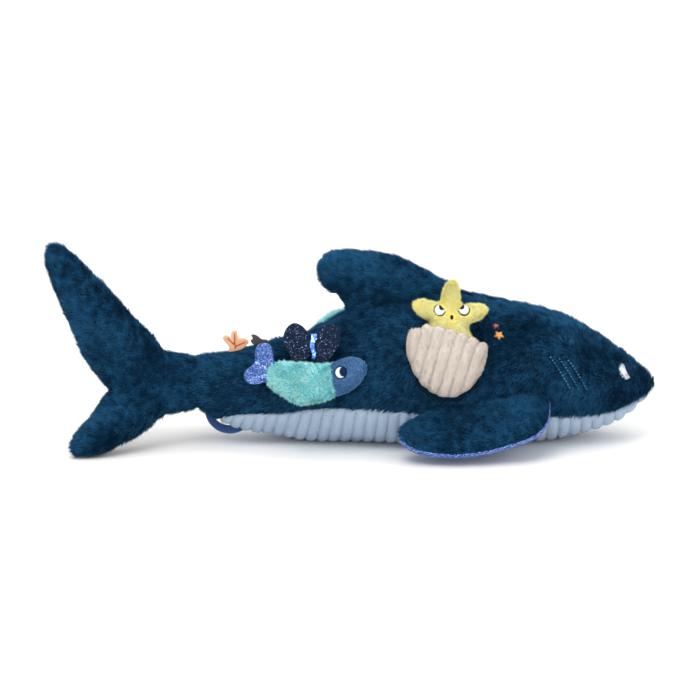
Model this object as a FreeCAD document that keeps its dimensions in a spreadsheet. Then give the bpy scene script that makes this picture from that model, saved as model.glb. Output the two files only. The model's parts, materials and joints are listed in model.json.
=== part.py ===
"""Parametric plush shark with a pocket, a loose star and a sewn-on fish.

The shark lies on its belly. +X points to the nose, +Z up, and the right flank faces -Y.
The origin is on the flat resting patch of the belly, below the middle of the overall length.
Every size is in millimetres, and every angle in degrees.
"""

import FreeCAD, Part
import math
import os

from FreeCAD import Placement, Rotation, Vector

doc = FreeCAD.newDocument("plush_shark")
sheet = doc.addObject("Spreadsheet::Sheet", "sizes")

SIZES = [
    # the body
    ("nose_reach", 276.0, "origin to the tip of the nose"),
    ("body_length", 427.0, "tip of the nose to the tail seam"),
    ("body_height", 138.6, "tallest section, before the belly is pressed flat"),
    ("spine_bend", 18.0, "how far the tail seam lies off the middle plane"),
    ("skin", 2.5, "thickness of the pile fabric"),
    ("fill_gap", 0.3, "between a cover and its filling"),
    ("thread", 1.2, "height of the embroidery"),
    ("joint_gap", 1.0, "between parts that turn on each other"),
    # the tail fin
    ("tail_thickness", 34.0, "at the root"),
    ("tail_rise", 135.0, "upper lobe above the tail axis, in its own plane"),
    ("tail_drop", 54.0, "lower lobe below the tail axis, in its own plane"),
    ("tail_chord", 123.5, "from the tail axis back to the tip, in its own plane"),
    ("tail_yaw", 22.0, "how far the fin is swung to the right"),
    ("tail_lean", 14.0, "how far the fin is tipped over"),
    # the dorsal fin
    ("dorsal_rise", 60.0, "rear of the base to the top edge"),
    ("dorsal_chord", 104.0, "along the back"),
    ("dorsal_thickness", 27.0, "widest"),
    ("dorsal_room", 4.0, "between the fin and the back, for its swing"),
    # the pectoral fins
    ("fin_span", 50.0, "from the seam to the outer edge"),
    ("fin_length", 139.0, "front of the seam to the tip"),
    ("fin_thickness", 24.0, "widest"),
    ("fin_droop", 42.0, "below the horizontal"),
    ("fin_room", 4.0, "between the fin and the body, for its swing"),
    # the star
    ("star_radius", 36.0, "middle to the tip of an arm"),
    ("star_thickness", 17.0, "front to back"),
    ("star_skin", 1.5, "thickness of the star's and the fish's fabric"),
    # the pocket
    ("pocket_width", 71.0, "widest"),
    ("pocket_height", 65.0, "lowest point to the middle of the mouth"),
    ("pocket_depth", 25.0, "how far the mouth stands off the body"),
    ("pocket_wall", 3.0, "thickness of the ribbed fabric"),
    # the fish
    ("fish_length", 92.0, "head and body"),
    ("fish_height", 41.0, "deepest part of the body"),
    ("fish_thickness", 17.0, "front to back"),
    ("wing_length", 33.0, "of a net wing"),
    ("wing_width", 24.0, "of a net wing"),
    ("net", 0.8, "thickness of the net and of the foil"),
    # the tabs and the ribbon
    ("coral_height", 18.0, "of the orange tab"),
    ("grey_height", 9.0, "of the grey tab"),
    ("tab_thickness", 2.6, "of both tabs"),
    ("ribbon_width", 7.0, "across the tape"),
    ("ribbon_radius", 20.0, "of the tape's loop"),
    ("ribbon_thickness", 1.0, "of the tape"),
]

for row, (alias, value, note) in enumerate(SIZES, start=1):
    sheet.set(f"A{row}", note)
    sheet.set(f"B{row}", str(value))
    sheet.setAlias(f"B{row}", alias)
doc.recompute()

FAR = 500.0
ALONG_X = Vector(1, 0, 0)
ALONG_Y = Vector(0, 1, 0)
ALONG_Z = Vector(0, 0, 1)
UPRIGHT = Rotation(ALONG_X, 90)
RING_TURN = Rotation(ALONG_X, 37) * Rotation(ALONG_Y, 90)
PIECES = {}

# Share of the length from the nose, share of the half-height, height of the centre as a share
# of the height, and share of the spine's bend.
BODY_STATIONS = [
    (0.000, 0.06, 0.363, 0.0),
    (0.018, 0.15, 0.363, 0.0),
    (0.050, 0.33, 0.360, 0.0),
    (0.096, 0.52, 0.368, 0.0),
    (0.162, 0.71, 0.400, 0.0),
    (0.246, 0.85, 0.427, 0.0),
    (0.342, 0.93, 0.442, 0.0),
    (0.436, 1.00, 0.467, 0.0),
    (0.530, 0.96, 0.460, 0.0),
    (0.625, 0.86, 0.426, 0.0),
    (0.710, 0.73, 0.364, 0.03),
    (0.794, 0.61, 0.348, 0.17),
    (0.878, 0.49, 0.346, 0.43),
    (0.942, 0.38, 0.386, 0.69),
    (1.000, 0.355, 0.411, 1.0),
]

# The seam between the back and the belly: share of the length, share of the height.
BELLY_SEAM = [
    (-0.10, 0.345),
    (0.002, 0.323),
    (0.042, 0.270),
    (0.110, 0.232),
    (0.213, 0.245),
    (0.393, 0.280),
    (0.513, 0.300),
    (0.689, 0.300),
    (0.782, 0.256),
    (0.878, 0.224),
    (0.951, 0.137),
    (1.10, 0.000),
]

# Share of the half-thickness, and how much of the outline is left at that level.
PILLOW = [(-1.0, 0.36), (-0.84, 0.63), (-0.5, 0.89), (0.0, 1.0), (0.5, 0.89), (0.84, 0.63), (1.0, 0.36)]


def size(alias):
    """The value in the sheet's cell of that name."""
    return float(sheet.get(alias))


def cell(alias):
    """The text that binds an expression to the sheet's cell of that name."""
    return f"<<sizes>>.{alias}"


# Building blocks.


def add(kind, label):
    made = doc.addObject(kind, label)
    made.Label = label
    return made


def cut(label, base, tool):
    made = add("Part::Cut", label)
    made.Base = base
    made.Tool = tool
    return made


def common(label, base, tool):
    made = add("Part::Common", label)
    made.Base = base
    made.Tool = tool
    return made


def fuse(label, shapes):
    made = add("Part::MultiFuse", label)
    made.Shapes = shapes
    return made


def extrusion(label, base, direction, length, both_ways=False):
    """The face or wire of base drawn out along direction by the expression length."""
    made = add("Part::Extrusion", label)
    made.Base = base
    made.DirMode = "Custom"
    made.Dir = direction
    made.Solid = True
    made.Symmetric = both_ways
    made.setExpression("LengthFwd", length)
    return made


def cylinder(label, radius, height, place):
    """A cylinder whose radius and height are expressions."""
    made = add("Part::Cylinder", label)
    made.setExpression("Radius", radius)
    made.setExpression("Height", height)
    made.Placement = place
    return made


def half_space(label, place):
    """A large block above the plane that place puts the XY plane in."""
    made = add("Part::Box", label)
    made.Length = 2 * FAR
    made.Width = 2 * FAR
    made.Height = FAR
    made.Placement = place * Placement(Vector(-FAR, -FAR, 0), Rotation())
    return made


def face(label, points):
    """A flat face inside the smooth closed curve through the points, in the XY plane."""
    curve = Part.BSplineCurve()
    curve.interpolate(Points=[Vector(x, y, 0) for x, y in points], PeriodicFlag=True)
    made = add("Part::Feature", label)
    made.Shape = Part.Face(Part.Wire([curve.toShape()]))
    return made


def scaled(points, centre, share):
    """The points drawn towards the centre."""
    return [
        (centre[0] + (x - centre[0]) * share, centre[1] + (y - centre[1]) * share)
        for x, y in points
    ]


def shrunk(points, centre, depth):
    """The points moved towards the centre by that depth."""
    moved = []
    for x, y in points:
        reach = math.hypot(x - centre[0], y - centre[1])
        moved += scaled([(x, y)], centre, 1 - depth / reach)
    return moved


def pillow(label, outline, centre, thickness, inset, place):
    """A stuffed shape: the outline, rounded off to both sides, smaller all round by the inset.

    The thickness is a cell's name, and the inset a list of cells' names.
    """
    depth = sum(size(name) for name in inset)
    half = f"({cell(thickness)} / 2" + "".join(f" - {cell(name)}" for name in inset) + ")"
    rings = []
    for number, (level, share) in enumerate(PILLOW):
        ring = add("Part::Feature", f"{label}_ring_{number}")
        curve = Part.BSplineCurve()
        points = scaled(shrunk(outline, centre, depth), centre, share)
        curve.interpolate(Points=[Vector(x, y, 0) for x, y in points], PeriodicFlag=True)
        ring.Shape = Part.Wire([curve.toShape()])
        ring.setExpression(".Placement.Base.z", f"{half} * {level}")
        rings.append(ring)
    made = add("Part::Loft", label)
    made.Sections = rings
    made.Solid = True
    made.Placement = place
    return made


def piece(name, made):
    """Keep the object as a piece of the toy under that name."""
    made.Label = name
    PIECES[name] = made
    return made


# The body.


FIN_FRONT = 0.225
FIN_ROOT_MIDDLE = 0.30
FIN_SEAM_RISE = 0.303


def body_form(label, grown):
    """The body's smooth form, larger all round by the expression grown."""
    rings = []
    for number, (along, girth, rise, bend) in enumerate(BODY_STATIONS):
        ring = add("Part::Circle", f"{label}_ring_{number}")
        ring.Placement = Placement(Vector(), RING_TURN)
        ring.setExpression("Radius", f"{cell('body_height')} / 2 * {girth} + {grown}")
        reach = f"{cell('nose_reach')} + {grown}"
        ring.setExpression(".Placement.Base.x", f"{reach} - ({cell('body_length')} + {grown}) * {along}")
        ring.setExpression(".Placement.Base.y", f"-{cell('spine_bend')} * {bend}")
        ring.setExpression(".Placement.Base.z", f"{cell('body_height')} * {rise}")
        rings.append(ring)
    made = add("Part::Loft", label)
    made.Sections = rings
    made.Solid = True
    return made


def body_section(x):
    """Centre and radius of the body's section at x."""
    share = (size("nose_reach") - x) / size("body_length")
    for near, far in zip(BODY_STATIONS, BODY_STATIONS[1:]):
        if share <= far[0]:
            break
    part = (share - near[0]) / (far[0] - near[0])
    girth, rise, bend = [a + (b - a) * part for a, b in zip(near[1:], far[1:])]
    centre = Vector(x, -size("spine_bend") * bend, size("body_height") * rise)
    return centre, size("body_height") / 2 * girth


def flank_point(x, lift, side=-1):
    """The point of the body's skin at x, lift degrees above the horizontal."""
    centre, radius = body_section(x)
    angle = math.radians(lift)
    return centre + Vector(0, side * math.cos(angle), math.sin(angle)) * radius


def flank_place(x, lift, off=0.0):
    """A frame on the right flank: X forward, Y up along the skin, Z out of it."""
    turn = Rotation(ALONG_X, 90 - lift)
    return Placement(flank_point(x, lift) + turn.multVec(ALONG_Z) * off, turn)


def floor_block(label, height):
    """Everything above the height, given as an expression."""
    made = half_space(label, Placement())
    made.setExpression(".Placement.Base.z", height)
    return made


def belly_zone():
    """The space below the seam between the back and the belly."""
    points = [
        Vector(size("nose_reach") - size("body_length") * along, 0, size("body_height") * rise)
        for along, rise in BELLY_SEAM
    ]
    seam = Part.BSplineCurve()
    seam.interpolate(points)
    low_rear = Vector(points[-1].x, 0, -FAR)
    low_front = Vector(points[0].x, 0, -FAR)
    edges = [
        seam.toShape(),
        Part.makeLine(points[-1], low_rear),
        Part.makeLine(low_rear, low_front),
        Part.makeLine(low_front, points[0]),
    ]
    outline = add("Part::Feature", "belly_zone_outline")
    outline.Shape = Part.Face(Part.Wire(edges))
    return extrusion("belly_zone", outline, ALONG_Y, f"{2 * FAR}", both_ways=True)


def right_zone():
    """The space to the right of the seam along the spine."""
    stations = BODY_STATIONS[:1] + BODY_STATIONS[3:]
    spine = [
        Vector(size("nose_reach") - size("body_length") * along, -size("spine_bend") * bend, 0)
        for along, girth, rise, bend in stations
    ]
    front = spine[0] + ALONG_X * FAR
    rear = spine[-1] - ALONG_X * FAR
    curve = Part.BSplineCurve()
    curve.interpolate(spine)
    corners = [front, front - ALONG_Y * FAR, rear - ALONG_Y * FAR, rear]
    edges = [Part.makeLine(spine[-1], rear), Part.makeLine(rear, corners[2])]
    edges += [Part.makeLine(corners[2], corners[1]), Part.makeLine(corners[1], front)]
    edges += [Part.makeLine(front, spine[0]), curve.toShape()]
    outline = add("Part::Feature", "right_zone_outline")
    outline.Shape = Part.Face(Part.Wire(Part.sortEdges(edges)[0]))
    return extrusion("right_zone", outline, ALONG_Z, f"{2 * FAR}", both_ways=True)


def tail_hinge():
    """Where the tail fin turns, in the middle of the body's narrow end."""
    return body_section(size("nose_reach") - size("body_length"))[0]


def fin_hinge():
    """The line in the right seam on which the pectoral fin turns, at the front of the fin."""
    x = size("nose_reach") - size("body_length") * FIN_FRONT
    middle, radius = body_section(x - size("fin_length") * FIN_ROOT_MIDDLE)
    height = size("body_height") * FIN_SEAM_RISE
    reach = math.sqrt(radius ** 2 - (middle.z - height) ** 2)
    return Vector(x, -reach, height)


def build_body():
    """The three fabric panels and the filling inside them."""
    outer = common("body_outer", body_form("body_form", "0"), floor_block("floor", "0"))
    inner_form = body_form("body_inner_form", f"-{cell('skin')}")
    inner = common("body_inner", inner_form, floor_block("inner_floor", cell("skin")))
    shell = cut("body_shell", outer, inner)
    room = tail_room()
    open_shell = cut("body_open_shell", shell, room)
    belly = belly_zone()
    right = right_zone()
    piece("belly_panel", common("belly_panel", open_shell, belly))
    back = cut("back_shell", open_shell, belly)
    piece("body_panel_right", common("body_panel_right", back, right))
    piece("body_panel_left", cut("body_panel_left", back, right))
    depth = f"{cell('skin')} + {cell('fill_gap')}"
    fill_form = body_form("body_fill_form", f"-({depth})")
    filling = common("body_fill", fill_form, floor_block("fill_floor", depth))
    piece("body_filling", cut("body_filling", filling, room))
    return outer


def tail_room():
    """The hollow in the end of the body for the tail fin's rounded root."""
    radius = f"{cell('tail_thickness')} / 2 + {cell('joint_gap')}"
    place = Placement(tail_hinge() - ALONG_Z * FAR / 2, Rotation())
    return cylinder("tail_room", radius, f"{FAR}", place)


# Embroidery.


GILL_COUNT = 3
GILL_WIDTH = 2.2
GILL_FRONT = 0.227
GILL_PITCH = 0.019
GILL_SLANT = 0.036
# Of the upper and lower ends, as the lift of flank_point.
GILL_LIFTS = (32.0, 4.0)
EYE_ALONG = 0.068
EYE_LIFT = 38.0
EYE_RADIUS = 6.8
PUPIL_RADIUS = 6.0
PUPIL_SHIFT = 3.0
PATCH_HEIGHT = 2.5
PATCH_RADIUS = 13.0
PATCH_ALONG = 0.677
PATCH_LIFT = 59.0
STAR_STEPS = 40
STAR_WAIST = 0.5
STAR_SHARPNESS = 1.8
# Of an embroidered star: share of the body's length, lift of flank_point, radius, turn.
SMALL_STARS = {
    "small_star_red": (0.341, 54.0, 3.8, 12),
    "small_star_orange": (0.336, 46.0, 5.7, 180),
}


def stitched(label, outer, raised, prism):
    """The raised threads that cover the body's skin inside the prism."""
    patch = common(f"{label}_patch", raised, prism)
    return piece(label, cut(label, patch, outer))


def bar(label, start, end, width, side):
    """A round-ended bar from start to end in the XZ plane, drawn out to one side."""
    along = (end - start).normalize()
    across = Vector(-along.z, 0, along.x) * (width / 2)
    tip = along * (width / 2)
    edges = [
        Part.makeLine(start + across, end + across),
        Part.Arc(end + across, end + tip, end - across).toShape(),
        Part.makeLine(end - across, start - across),
        Part.Arc(start - across, start - tip, start + across).toShape(),
    ]
    outline = add("Part::Feature", f"{label}_outline")
    outline.Shape = Part.Face(Part.Wire(edges))
    return extrusion(f"{label}_bar", outline, ALONG_Y * side, f"{FAR / 2}")


def disc(label, centre, radius, side):
    """A round bar through the centre, drawn out to one side along Y."""
    turn = Rotation(ALONG_X, 90 if side < 0 else -90)
    return cylinder(label, radius, f"{FAR / 2}", Placement(Vector(centre.x, 0, centre.z), turn))


def along_body(share):
    """The x at that share of the body's length from the nose."""
    return size("nose_reach") - size("body_length") * share


def build_gills(name, outer, raised, side):
    """Three slanted lines of stitches behind the head."""
    bars = []
    for number in range(GILL_COUNT):
        along = GILL_FRONT - GILL_PITCH * number
        top = flank_point(along_body(along), GILL_LIFTS[0], side)
        bottom = flank_point(along_body(along - GILL_SLANT), GILL_LIFTS[1], side)
        top.y = 0
        bottom.y = 0
        bars.append(bar(f"{name}_{number}", top, bottom, GILL_WIDTH, side))
    stitched(name, outer, raised, fuse(f"{name}_bars", bars))


def build_eye(word, outer, raised, side):
    """A white crescent behind a dark pupil."""
    centre = flank_point(along_body(EYE_ALONG), EYE_LIFT, side)
    white = disc(f"eye_white_disc_{word}", centre, f"{EYE_RADIUS}", side)
    ahead = centre + ALONG_X * PUPIL_SHIFT
    dark = disc(f"eye_dark_disc_{word}", ahead, f"{PUPIL_RADIUS}", side)
    crescent = cut(f"eye_crescent_{word}", white, dark)
    stitched(f"eye_white_{word}", outer, raised, crescent)
    stitched(f"eye_pupil_{word}", outer, raised, dark)


def star_points(radius, waist, turn):
    """Points on a rounded five-armed star, whose notches lie at waist times the radius."""
    points = []
    for step in range(STAR_STEPS):
        angle = 360 * step / STAR_STEPS
        wave = (1 + math.cos(math.radians(5 * angle))) / 2
        reach = radius * (waist + (1 - waist) * wave**STAR_SHARPNESS)
        aim = math.radians(90 + turn + angle)
        points.append((reach * math.cos(aim), reach * math.sin(aim)))
    return points


def build_small_star(name, outer, raised, along, lift, radius, turn):
    """A small embroidered star above the pocket."""
    outline = face(f"{name}_outline", star_points(radius, STAR_WAIST, turn))
    outline.Placement = flank_place(along_body(along), lift, off=-radius)
    normal = outline.Placement.Rotation.multVec(ALONG_Z)
    prism = extrusion(f"{name}_prism", outline, normal, f"{4 * radius}")
    stitched(name, outer, raised, prism)


def build_teal_patch(outer):
    """A tufted patch on the far flank, just below the spine."""
    raised = body_form("patch_form", f"{PATCH_HEIGHT}")
    centre = flank_point(along_body(PATCH_ALONG), PATCH_LIFT, 1)
    middle = body_section(centre.x)[0]
    turn = Rotation(ALONG_Z, centre - middle)
    column = cylinder("patch_column", f"{PATCH_RADIUS}", f"{FAR / 2}", Placement(middle, turn))
    stitched("teal_patch", outer, raised, column)


def build_embroidery(outer):
    raised = body_form("thread_form", cell("thread"))
    for word, side in (("right", -1), ("left", 1)):
        build_gills(f"gill_stitches_{word}", outer, raised, side)
        build_eye(word, outer, raised, side)
    for name, (along, lift, radius, turn) in SMALL_STARS.items():
        build_small_star(name, outer, raised, along, lift, radius, turn)


# Tail and dorsal fin.

# Share of the chord, and share of the rise (positive) or of the drop (negative).
TAIL_OUTLINE = [
    (0.000, 0.170),
    (0.100, 0.210),
    (0.245, 0.340),
    (0.400, 0.510),
    (0.545, 0.680),
    (0.715, 0.850),
    (0.830, 0.965),
    (0.910, 0.985),
    (0.925, 0.900),
    (0.875, 0.690),
    (0.790, 0.460),
    (0.710, 0.240),
    (0.600, 0.060),
    (0.570, -0.040),
    (0.630, -0.240),
    (0.735, -0.560),
    (0.860, -0.860),
    (0.875, -1.000),
    (0.790, -1.050),
    (0.580, -0.950),
    (0.330, -0.720),
    (0.160, -0.500),
    (0.000, -0.440),
    (-0.130, -0.200),
    (-0.130, 0.080),
]
TAIL_CENTRE = (0.16, 0.0)
TAIL_SWING = 18.5


def tail_form(label, inset):
    """The tail fin's form, upright in its own plane, smaller all round by the inset."""
    outline = []
    for along, rise in TAIL_OUTLINE:
        reach = size("tail_rise") if rise > 0 else size("tail_drop")
        outline.append((-along * size("tail_chord"), rise * reach))
    centre = (-TAIL_CENTRE[0] * size("tail_chord"), TAIL_CENTRE[1])
    return pillow(label, outline, centre, "tail_thickness", inset, tail_place())


def tail_place():
    """The tail fin's plane: swung to the right and tipped over, through its hinge."""
    swing = Rotation(ALONG_Z, size("tail_yaw"))
    tip = Rotation(ALONG_X, -size("tail_lean"))
    return Placement(tail_hinge(), swing * tip * UPRIGHT)


def build_tail():
    """Two pile panels with filling, rounded at the root."""
    outer = tail_form("tail_form", [])
    inner = tail_form("tail_inner", ["skin"])
    shell = cut("tail_shell", rooted("tail_rooted", outer, ""), inner)
    split = half_space("tail_split", tail_place())
    piece("tail_panel_right", common("tail_panel_right", shell, split))
    piece("tail_panel_left", cut("tail_panel_left", shell, split))
    filling = tail_form("tail_fill_form", ["skin", "fill_gap"])
    piece("tail_filling", rooted("tail_filling", filling, "_filling"))


def rooted(label, form, word):
    """The form, rounded off where it turns inside the end of the body and wedged beside it."""
    hinge = tail_hinge()
    clear = hinge - ALONG_X * size("joint_gap")
    sides = []
    for side in (-1, 1):
        turn = Rotation(ALONG_Z, side * TAIL_SWING) * Rotation(ALONG_Y, -90)
        sides.append(half_space(f"behind_hinge_{side + 1}{word}", Placement(clear, turn)))
    behind = common(f"behind_hinge{word}", sides[0], sides[1])
    radius = f"{cell('tail_thickness')} / 2"
    foot = Placement(hinge - ALONG_Z * FAR / 2, Rotation())
    root = cylinder(f"tail_root{word}", radius, f"{FAR}", foot)
    return common(label, form, fuse(f"tail_allowed{word}", [behind, root]))


# Share of the chord from the rear of the base, and share of the rise.
DORSAL_OUTLINE = [
    (0.00, 0.00),
    (0.00, 0.20),
    (-0.09, 0.38),
    (-0.20, 0.57),
    (-0.23, 0.76),
    (-0.16, 0.93),
    (0.00, 1.00),
    (0.22, 0.99),
    (0.48, 0.89),
    (0.65, 0.74),
    (0.83, 0.56),
    (1.00, 0.43),
    (1.16, 0.30),
    (1.10, 0.05),
    (0.60, -0.20),
    (0.15, -0.22),
]
DORSAL_CENTRE = (0.45, 0.05)
DORSAL_REAR = 0.655


def dorsal_base():
    """Rear end of the dorsal fin's base, on the back."""
    x = along_body(DORSAL_REAR)
    centre, radius = body_section(x)
    return centre + ALONG_Z * radius


def dorsal_form(label, inset):
    base = dorsal_base()
    outline = []
    for along, rise in DORSAL_OUTLINE:
        outline.append((base.x + along * size("dorsal_chord"), base.z + rise * size("dorsal_rise")))
    ahead = DORSAL_CENTRE[0] * size("dorsal_chord")
    above = DORSAL_CENTRE[1] * size("dorsal_rise")
    middle = (base.x + ahead, base.z + above)
    return pillow(label, outline, middle, "dorsal_thickness", inset, Placement(Vector(), UPRIGHT))


def build_dorsal():
    """Two pile panels with filling, kept clear of the back."""
    room = body_form("dorsal_clearance", cell("dorsal_room"))
    shell = cut("dorsal_shell", dorsal_form("dorsal_form", []), dorsal_form("dorsal_inner", ["skin"]))
    clear = cut("dorsal_clear_shell", shell, room)
    split = half_space("dorsal_split", Placement(Vector(), UPRIGHT))
    piece("dorsal_panel_right", common("dorsal_panel_right", clear, split))
    piece("dorsal_panel_left", cut("dorsal_panel_left", clear, split))
    filling = dorsal_form("dorsal_fill_form", ["skin", "fill_gap"])
    piece("dorsal_filling", cut("dorsal_filling", filling, room))


# Pectoral fins.

# Share of the length from the front, and share of the span.
FIN_OUTLINE = [
    (0.00, -0.06),
    (0.02, 0.30),
    (0.13, 0.64),
    (0.25, 0.79),
    (0.40, 0.91),
    (0.62, 1.00),
    (0.86, 0.91),
    (0.97, 0.73),
    (1.00, 0.49),
    (0.94, 0.29),
    (0.84, 0.17),
    (0.70, 0.07),
    (0.58, -0.04),
    (0.42, -0.10),
    (0.15, -0.12),
]
FIN_CENTRE = (0.32, 0.22)


def fin_place():
    """The right fin's frame: X forward, Y out along the fin, Z towards its underside."""
    return Placement(fin_hinge(), Rotation(ALONG_X, 180 + size("fin_droop")))


def fin_form(label, inset):
    outline = []
    for along, out in FIN_OUTLINE:
        outline.append((-along * size("fin_length"), out * size("fin_span")))
    centre = (-FIN_CENTRE[0] * size("fin_length"), FIN_CENTRE[1] * size("fin_span"))
    return pillow(label, outline, centre, "fin_thickness", inset, fin_place())


def mirrored(name, source):
    """The left-hand twin of a right-hand piece."""
    made = add("Part::Mirroring", name)
    made.Source = source
    made.Normal = ALONG_Y
    return piece(name, made)


def build_fins():
    """Right fin: pile on top, glitter cloth underneath, filling; and its mirror image."""
    room = body_form("fin_clearance", cell("fin_room"))
    shell = cut("fin_shell", fin_form("fin_form", []), fin_form("fin_inner", ["skin"]))
    clear = cut("fin_clear_shell", shell, room)
    below = half_space("fin_below", fin_place())
    above = half_space("fin_above", fin_place() * Placement(Vector(), Rotation(ALONG_X, 180)))
    under = piece("fin_right_underside", common("fin_right_underside", clear, below))
    top = piece("fin_right_top", common("fin_right_top", clear, above))
    fill_form = fin_form("fin_fill_form", ["skin", "fill_gap"])
    filling = piece("fin_right_filling", cut("fin_right_filling", fill_form, room))
    mirrored("fin_left_underside", under)
    mirrored("fin_left_top", top)
    mirrored("fin_left_filling", filling)


# Pocket and star.

POCKET_ALONG = 0.445
POCKET_LIFT = 18.0
# Share of the half-width, and share of the height, from the middle of the mouth down.
POCKET_OUTLINE = [
    (0.00, 0.03),
    (0.45, 0.01),
    (0.86, -0.06),
    (1.00, -0.22),
    (0.97, -0.45),
    (0.82, -0.68),
    (0.52, -0.89),
    (0.10, -1.00),
    (-0.34, -0.94),
    (-0.70, -0.75),
    (-0.92, -0.50),
    (-1.00, -0.25),
    (-0.88, -0.06),
    (-0.45, 0.01),
]
MOUTH_RISE = 31.0
# Shares of the height: how deep the open mouth reaches, and where the dome is highest.
MOUTH_DEPTH = 0.10
POCKET_CENTRE = 0.12
STAR_RISE = 8.5
STAR_AHEAD = 2.0
STAR_STAND_OFF = 10.5
STAR_TURN = -4.0
STAR_EYE_MIDDLE = 1.8
STAR_EYE_SPREAD = 10.5
STAR_EYE_RISE = 7.0
STAR_EYE_RADIUS = 4.8
STAR_PUPIL_RADIUS = 2.6
STAR_PUPIL_SHIFT = 1.2
STAR_PUPIL_RISE = 1.0
STAR_MOUTH_RADIUS = 1.8
STAR_MOUTH_RISE = 0.8


def pocket_place():
    """A frame in the middle of the pocket's mouth, on the skin's tangent plane."""
    place = flank_place(along_body(POCKET_ALONG), POCKET_LIFT)
    return place * Placement(Vector(0, MOUTH_RISE, 0), Rotation())


def build_pocket(outer):
    """A domed shell of ribbed fabric, sewn down all round except at its mouth."""
    half = size("pocket_width") / 2
    height = size("pocket_height")
    outline = [(across * half, up * height) for across, up in POCKET_OUTLINE]
    opened = [(x, y if y < -MOUTH_DEPTH * height else y + height) for x, y in outline]
    centre = (0.0, -POCKET_CENTRE * height)
    dome = pocket_dome("pocket_dome", outline, centre, 0.0)
    hollow = pocket_dome("pocket_hollow", opened, centre, size("pocket_wall"))
    wall = cut("pocket_open_wall", dome, hollow)
    piece("shell_pocket", cut("shell_pocket", wall, outer))


def pocket_dome(label, outline, centre, inset):
    """The pocket's bulge from inside the body outwards, smaller all round by the inset."""
    depth = size("pocket_depth") - inset
    points = shrunk(outline, centre, inset)
    rings = []
    for number, (level, share) in enumerate(PILLOW[2:]):
        ring = add("Part::Feature", f"{label}_ring_{number}")
        curve = Part.BSplineCurve()
        corners = [Vector(x, y, level * depth) for x, y in scaled(points, centre, share)]
        curve.interpolate(Points=corners, PeriodicFlag=True)
        ring.Shape = Part.Wire([curve.toShape()])
        rings.append(ring)
    made = add("Part::Loft", label)
    made.Sections = rings
    made.Solid = True
    made.Placement = pocket_place()
    return made


def star_place():
    """The star's middle plane, above the pocket's mouth and off the skin."""
    return pocket_place() * Placement(Vector(STAR_AHEAD, STAR_RISE, STAR_STAND_OFF), Rotation())


def button(name, form, place, x, y, radius, height):
    """A flat round of stitches standing on the form's front, at x and y in the frame of place."""
    centre = place * Placement(Vector(x, y, 0), Rotation())
    post = cylinder(f"{name}_post", f"{radius}", height, centre)
    return cut(f"{name}_raised", post, form)


def build_star():
    """Front, back and filling, with stitched eyes and a mouth."""
    outline = star_points(size("star_radius"), STAR_WAIST, STAR_TURN)
    place = star_place()
    form = pillow("star_form", outline, (0, 0), "star_thickness", [], place)
    hollow = pillow("star_hollow", outline, (0, 0), "star_thickness", ["star_skin"], place)
    shell = cut("star_shell", form, hollow)
    front = half_space("star_split", place)
    piece("star_front", common("star_front", shell, front))
    piece("star_back", cut("star_back", shell, front))
    inset = ["star_skin", "fill_gap"]
    piece("star_filling", pillow("star_filling", outline, (0, 0), "star_thickness", inset, place))
    height = f"{cell('star_thickness')} / 2 + {cell('thread')}"
    whites = []
    pupils = []
    for side in (-1, 1):
        x = STAR_EYE_MIDDLE + side * STAR_EYE_SPREAD
        white = button(f"star_white_{side + 1}", form, place, x, STAR_EYE_RISE, STAR_EYE_RADIUS, height)
        inward = x - side * STAR_PUPIL_SHIFT
        raised = STAR_EYE_RISE + STAR_PUPIL_RISE
        dark = button(f"star_dark_{side + 1}", form, place, inward, raised, STAR_PUPIL_RADIUS, height)
        whites.append(cut(f"star_white_ring_{side + 1}", white, dark))
        pupils.append(dark)
    piece("star_eye_whites", fuse("star_eye_whites", whites))
    piece("star_pupils", fuse("star_pupils", pupils))
    mouth = button("star_mouth", form, place, STAR_EYE_MIDDLE, STAR_MOUTH_RISE, STAR_MOUTH_RADIUS, height)
    piece("star_mouth", mouth)


# The fish.

FISH_ALONG = 0.720
FISH_LIFT = 20.0
FISH_STAND_OFF = 12.0
FISH_YAW = 9.0
# Share of the half-length, and share of the half-height.
FISH_OUTLINE = [
    (-0.94, 0.11),
    (-0.86, 0.50),
    (-0.55, 0.60),
    (0.00, 0.58),
    (0.40, 0.58),
    (0.80, 0.80),
    (1.00, 0.55),
    (0.90, -0.15),
    (0.55, -0.68),
    (0.05, -1.04),
    (-0.35, -1.06),
    (-0.74, -0.55),
]
FISH_EYE = (24.8, 3.7)
FISH_EYE_RADIUS = 4.8
FISH_PUPIL_RADIUS = 3.4
FISH_PUPIL_SHIFT = 1.8
FISH_TOP = 0.58
FISH_HEAD_FROM = 0.38
# Share of the half-length and share of the half-height, from the fish's middle.
FISH_TAIL = [
    (-1.00, 1.52),
    (-1.13, 1.36),
    (-1.16, 0.97),
    (-1.21, 0.56),
    (-1.34, 0.36),
    (-1.38, 0.11),
    (-1.30, -0.16),
    (-1.14, -0.23),
    (-0.98, -0.13),
    (-0.84, 0.10),
    (-0.76, 0.42),
    (-0.80, 0.75),
    (-0.83, 1.13),
    (-0.88, 1.44),
]


def fish_place():
    """The fish's middle plane, turned to follow the narrowing flank."""
    place = flank_place(along_body(FISH_ALONG), FISH_LIFT, off=FISH_STAND_OFF)
    return place * Placement(Vector(), Rotation(ALONG_Y, -FISH_YAW))


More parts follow.
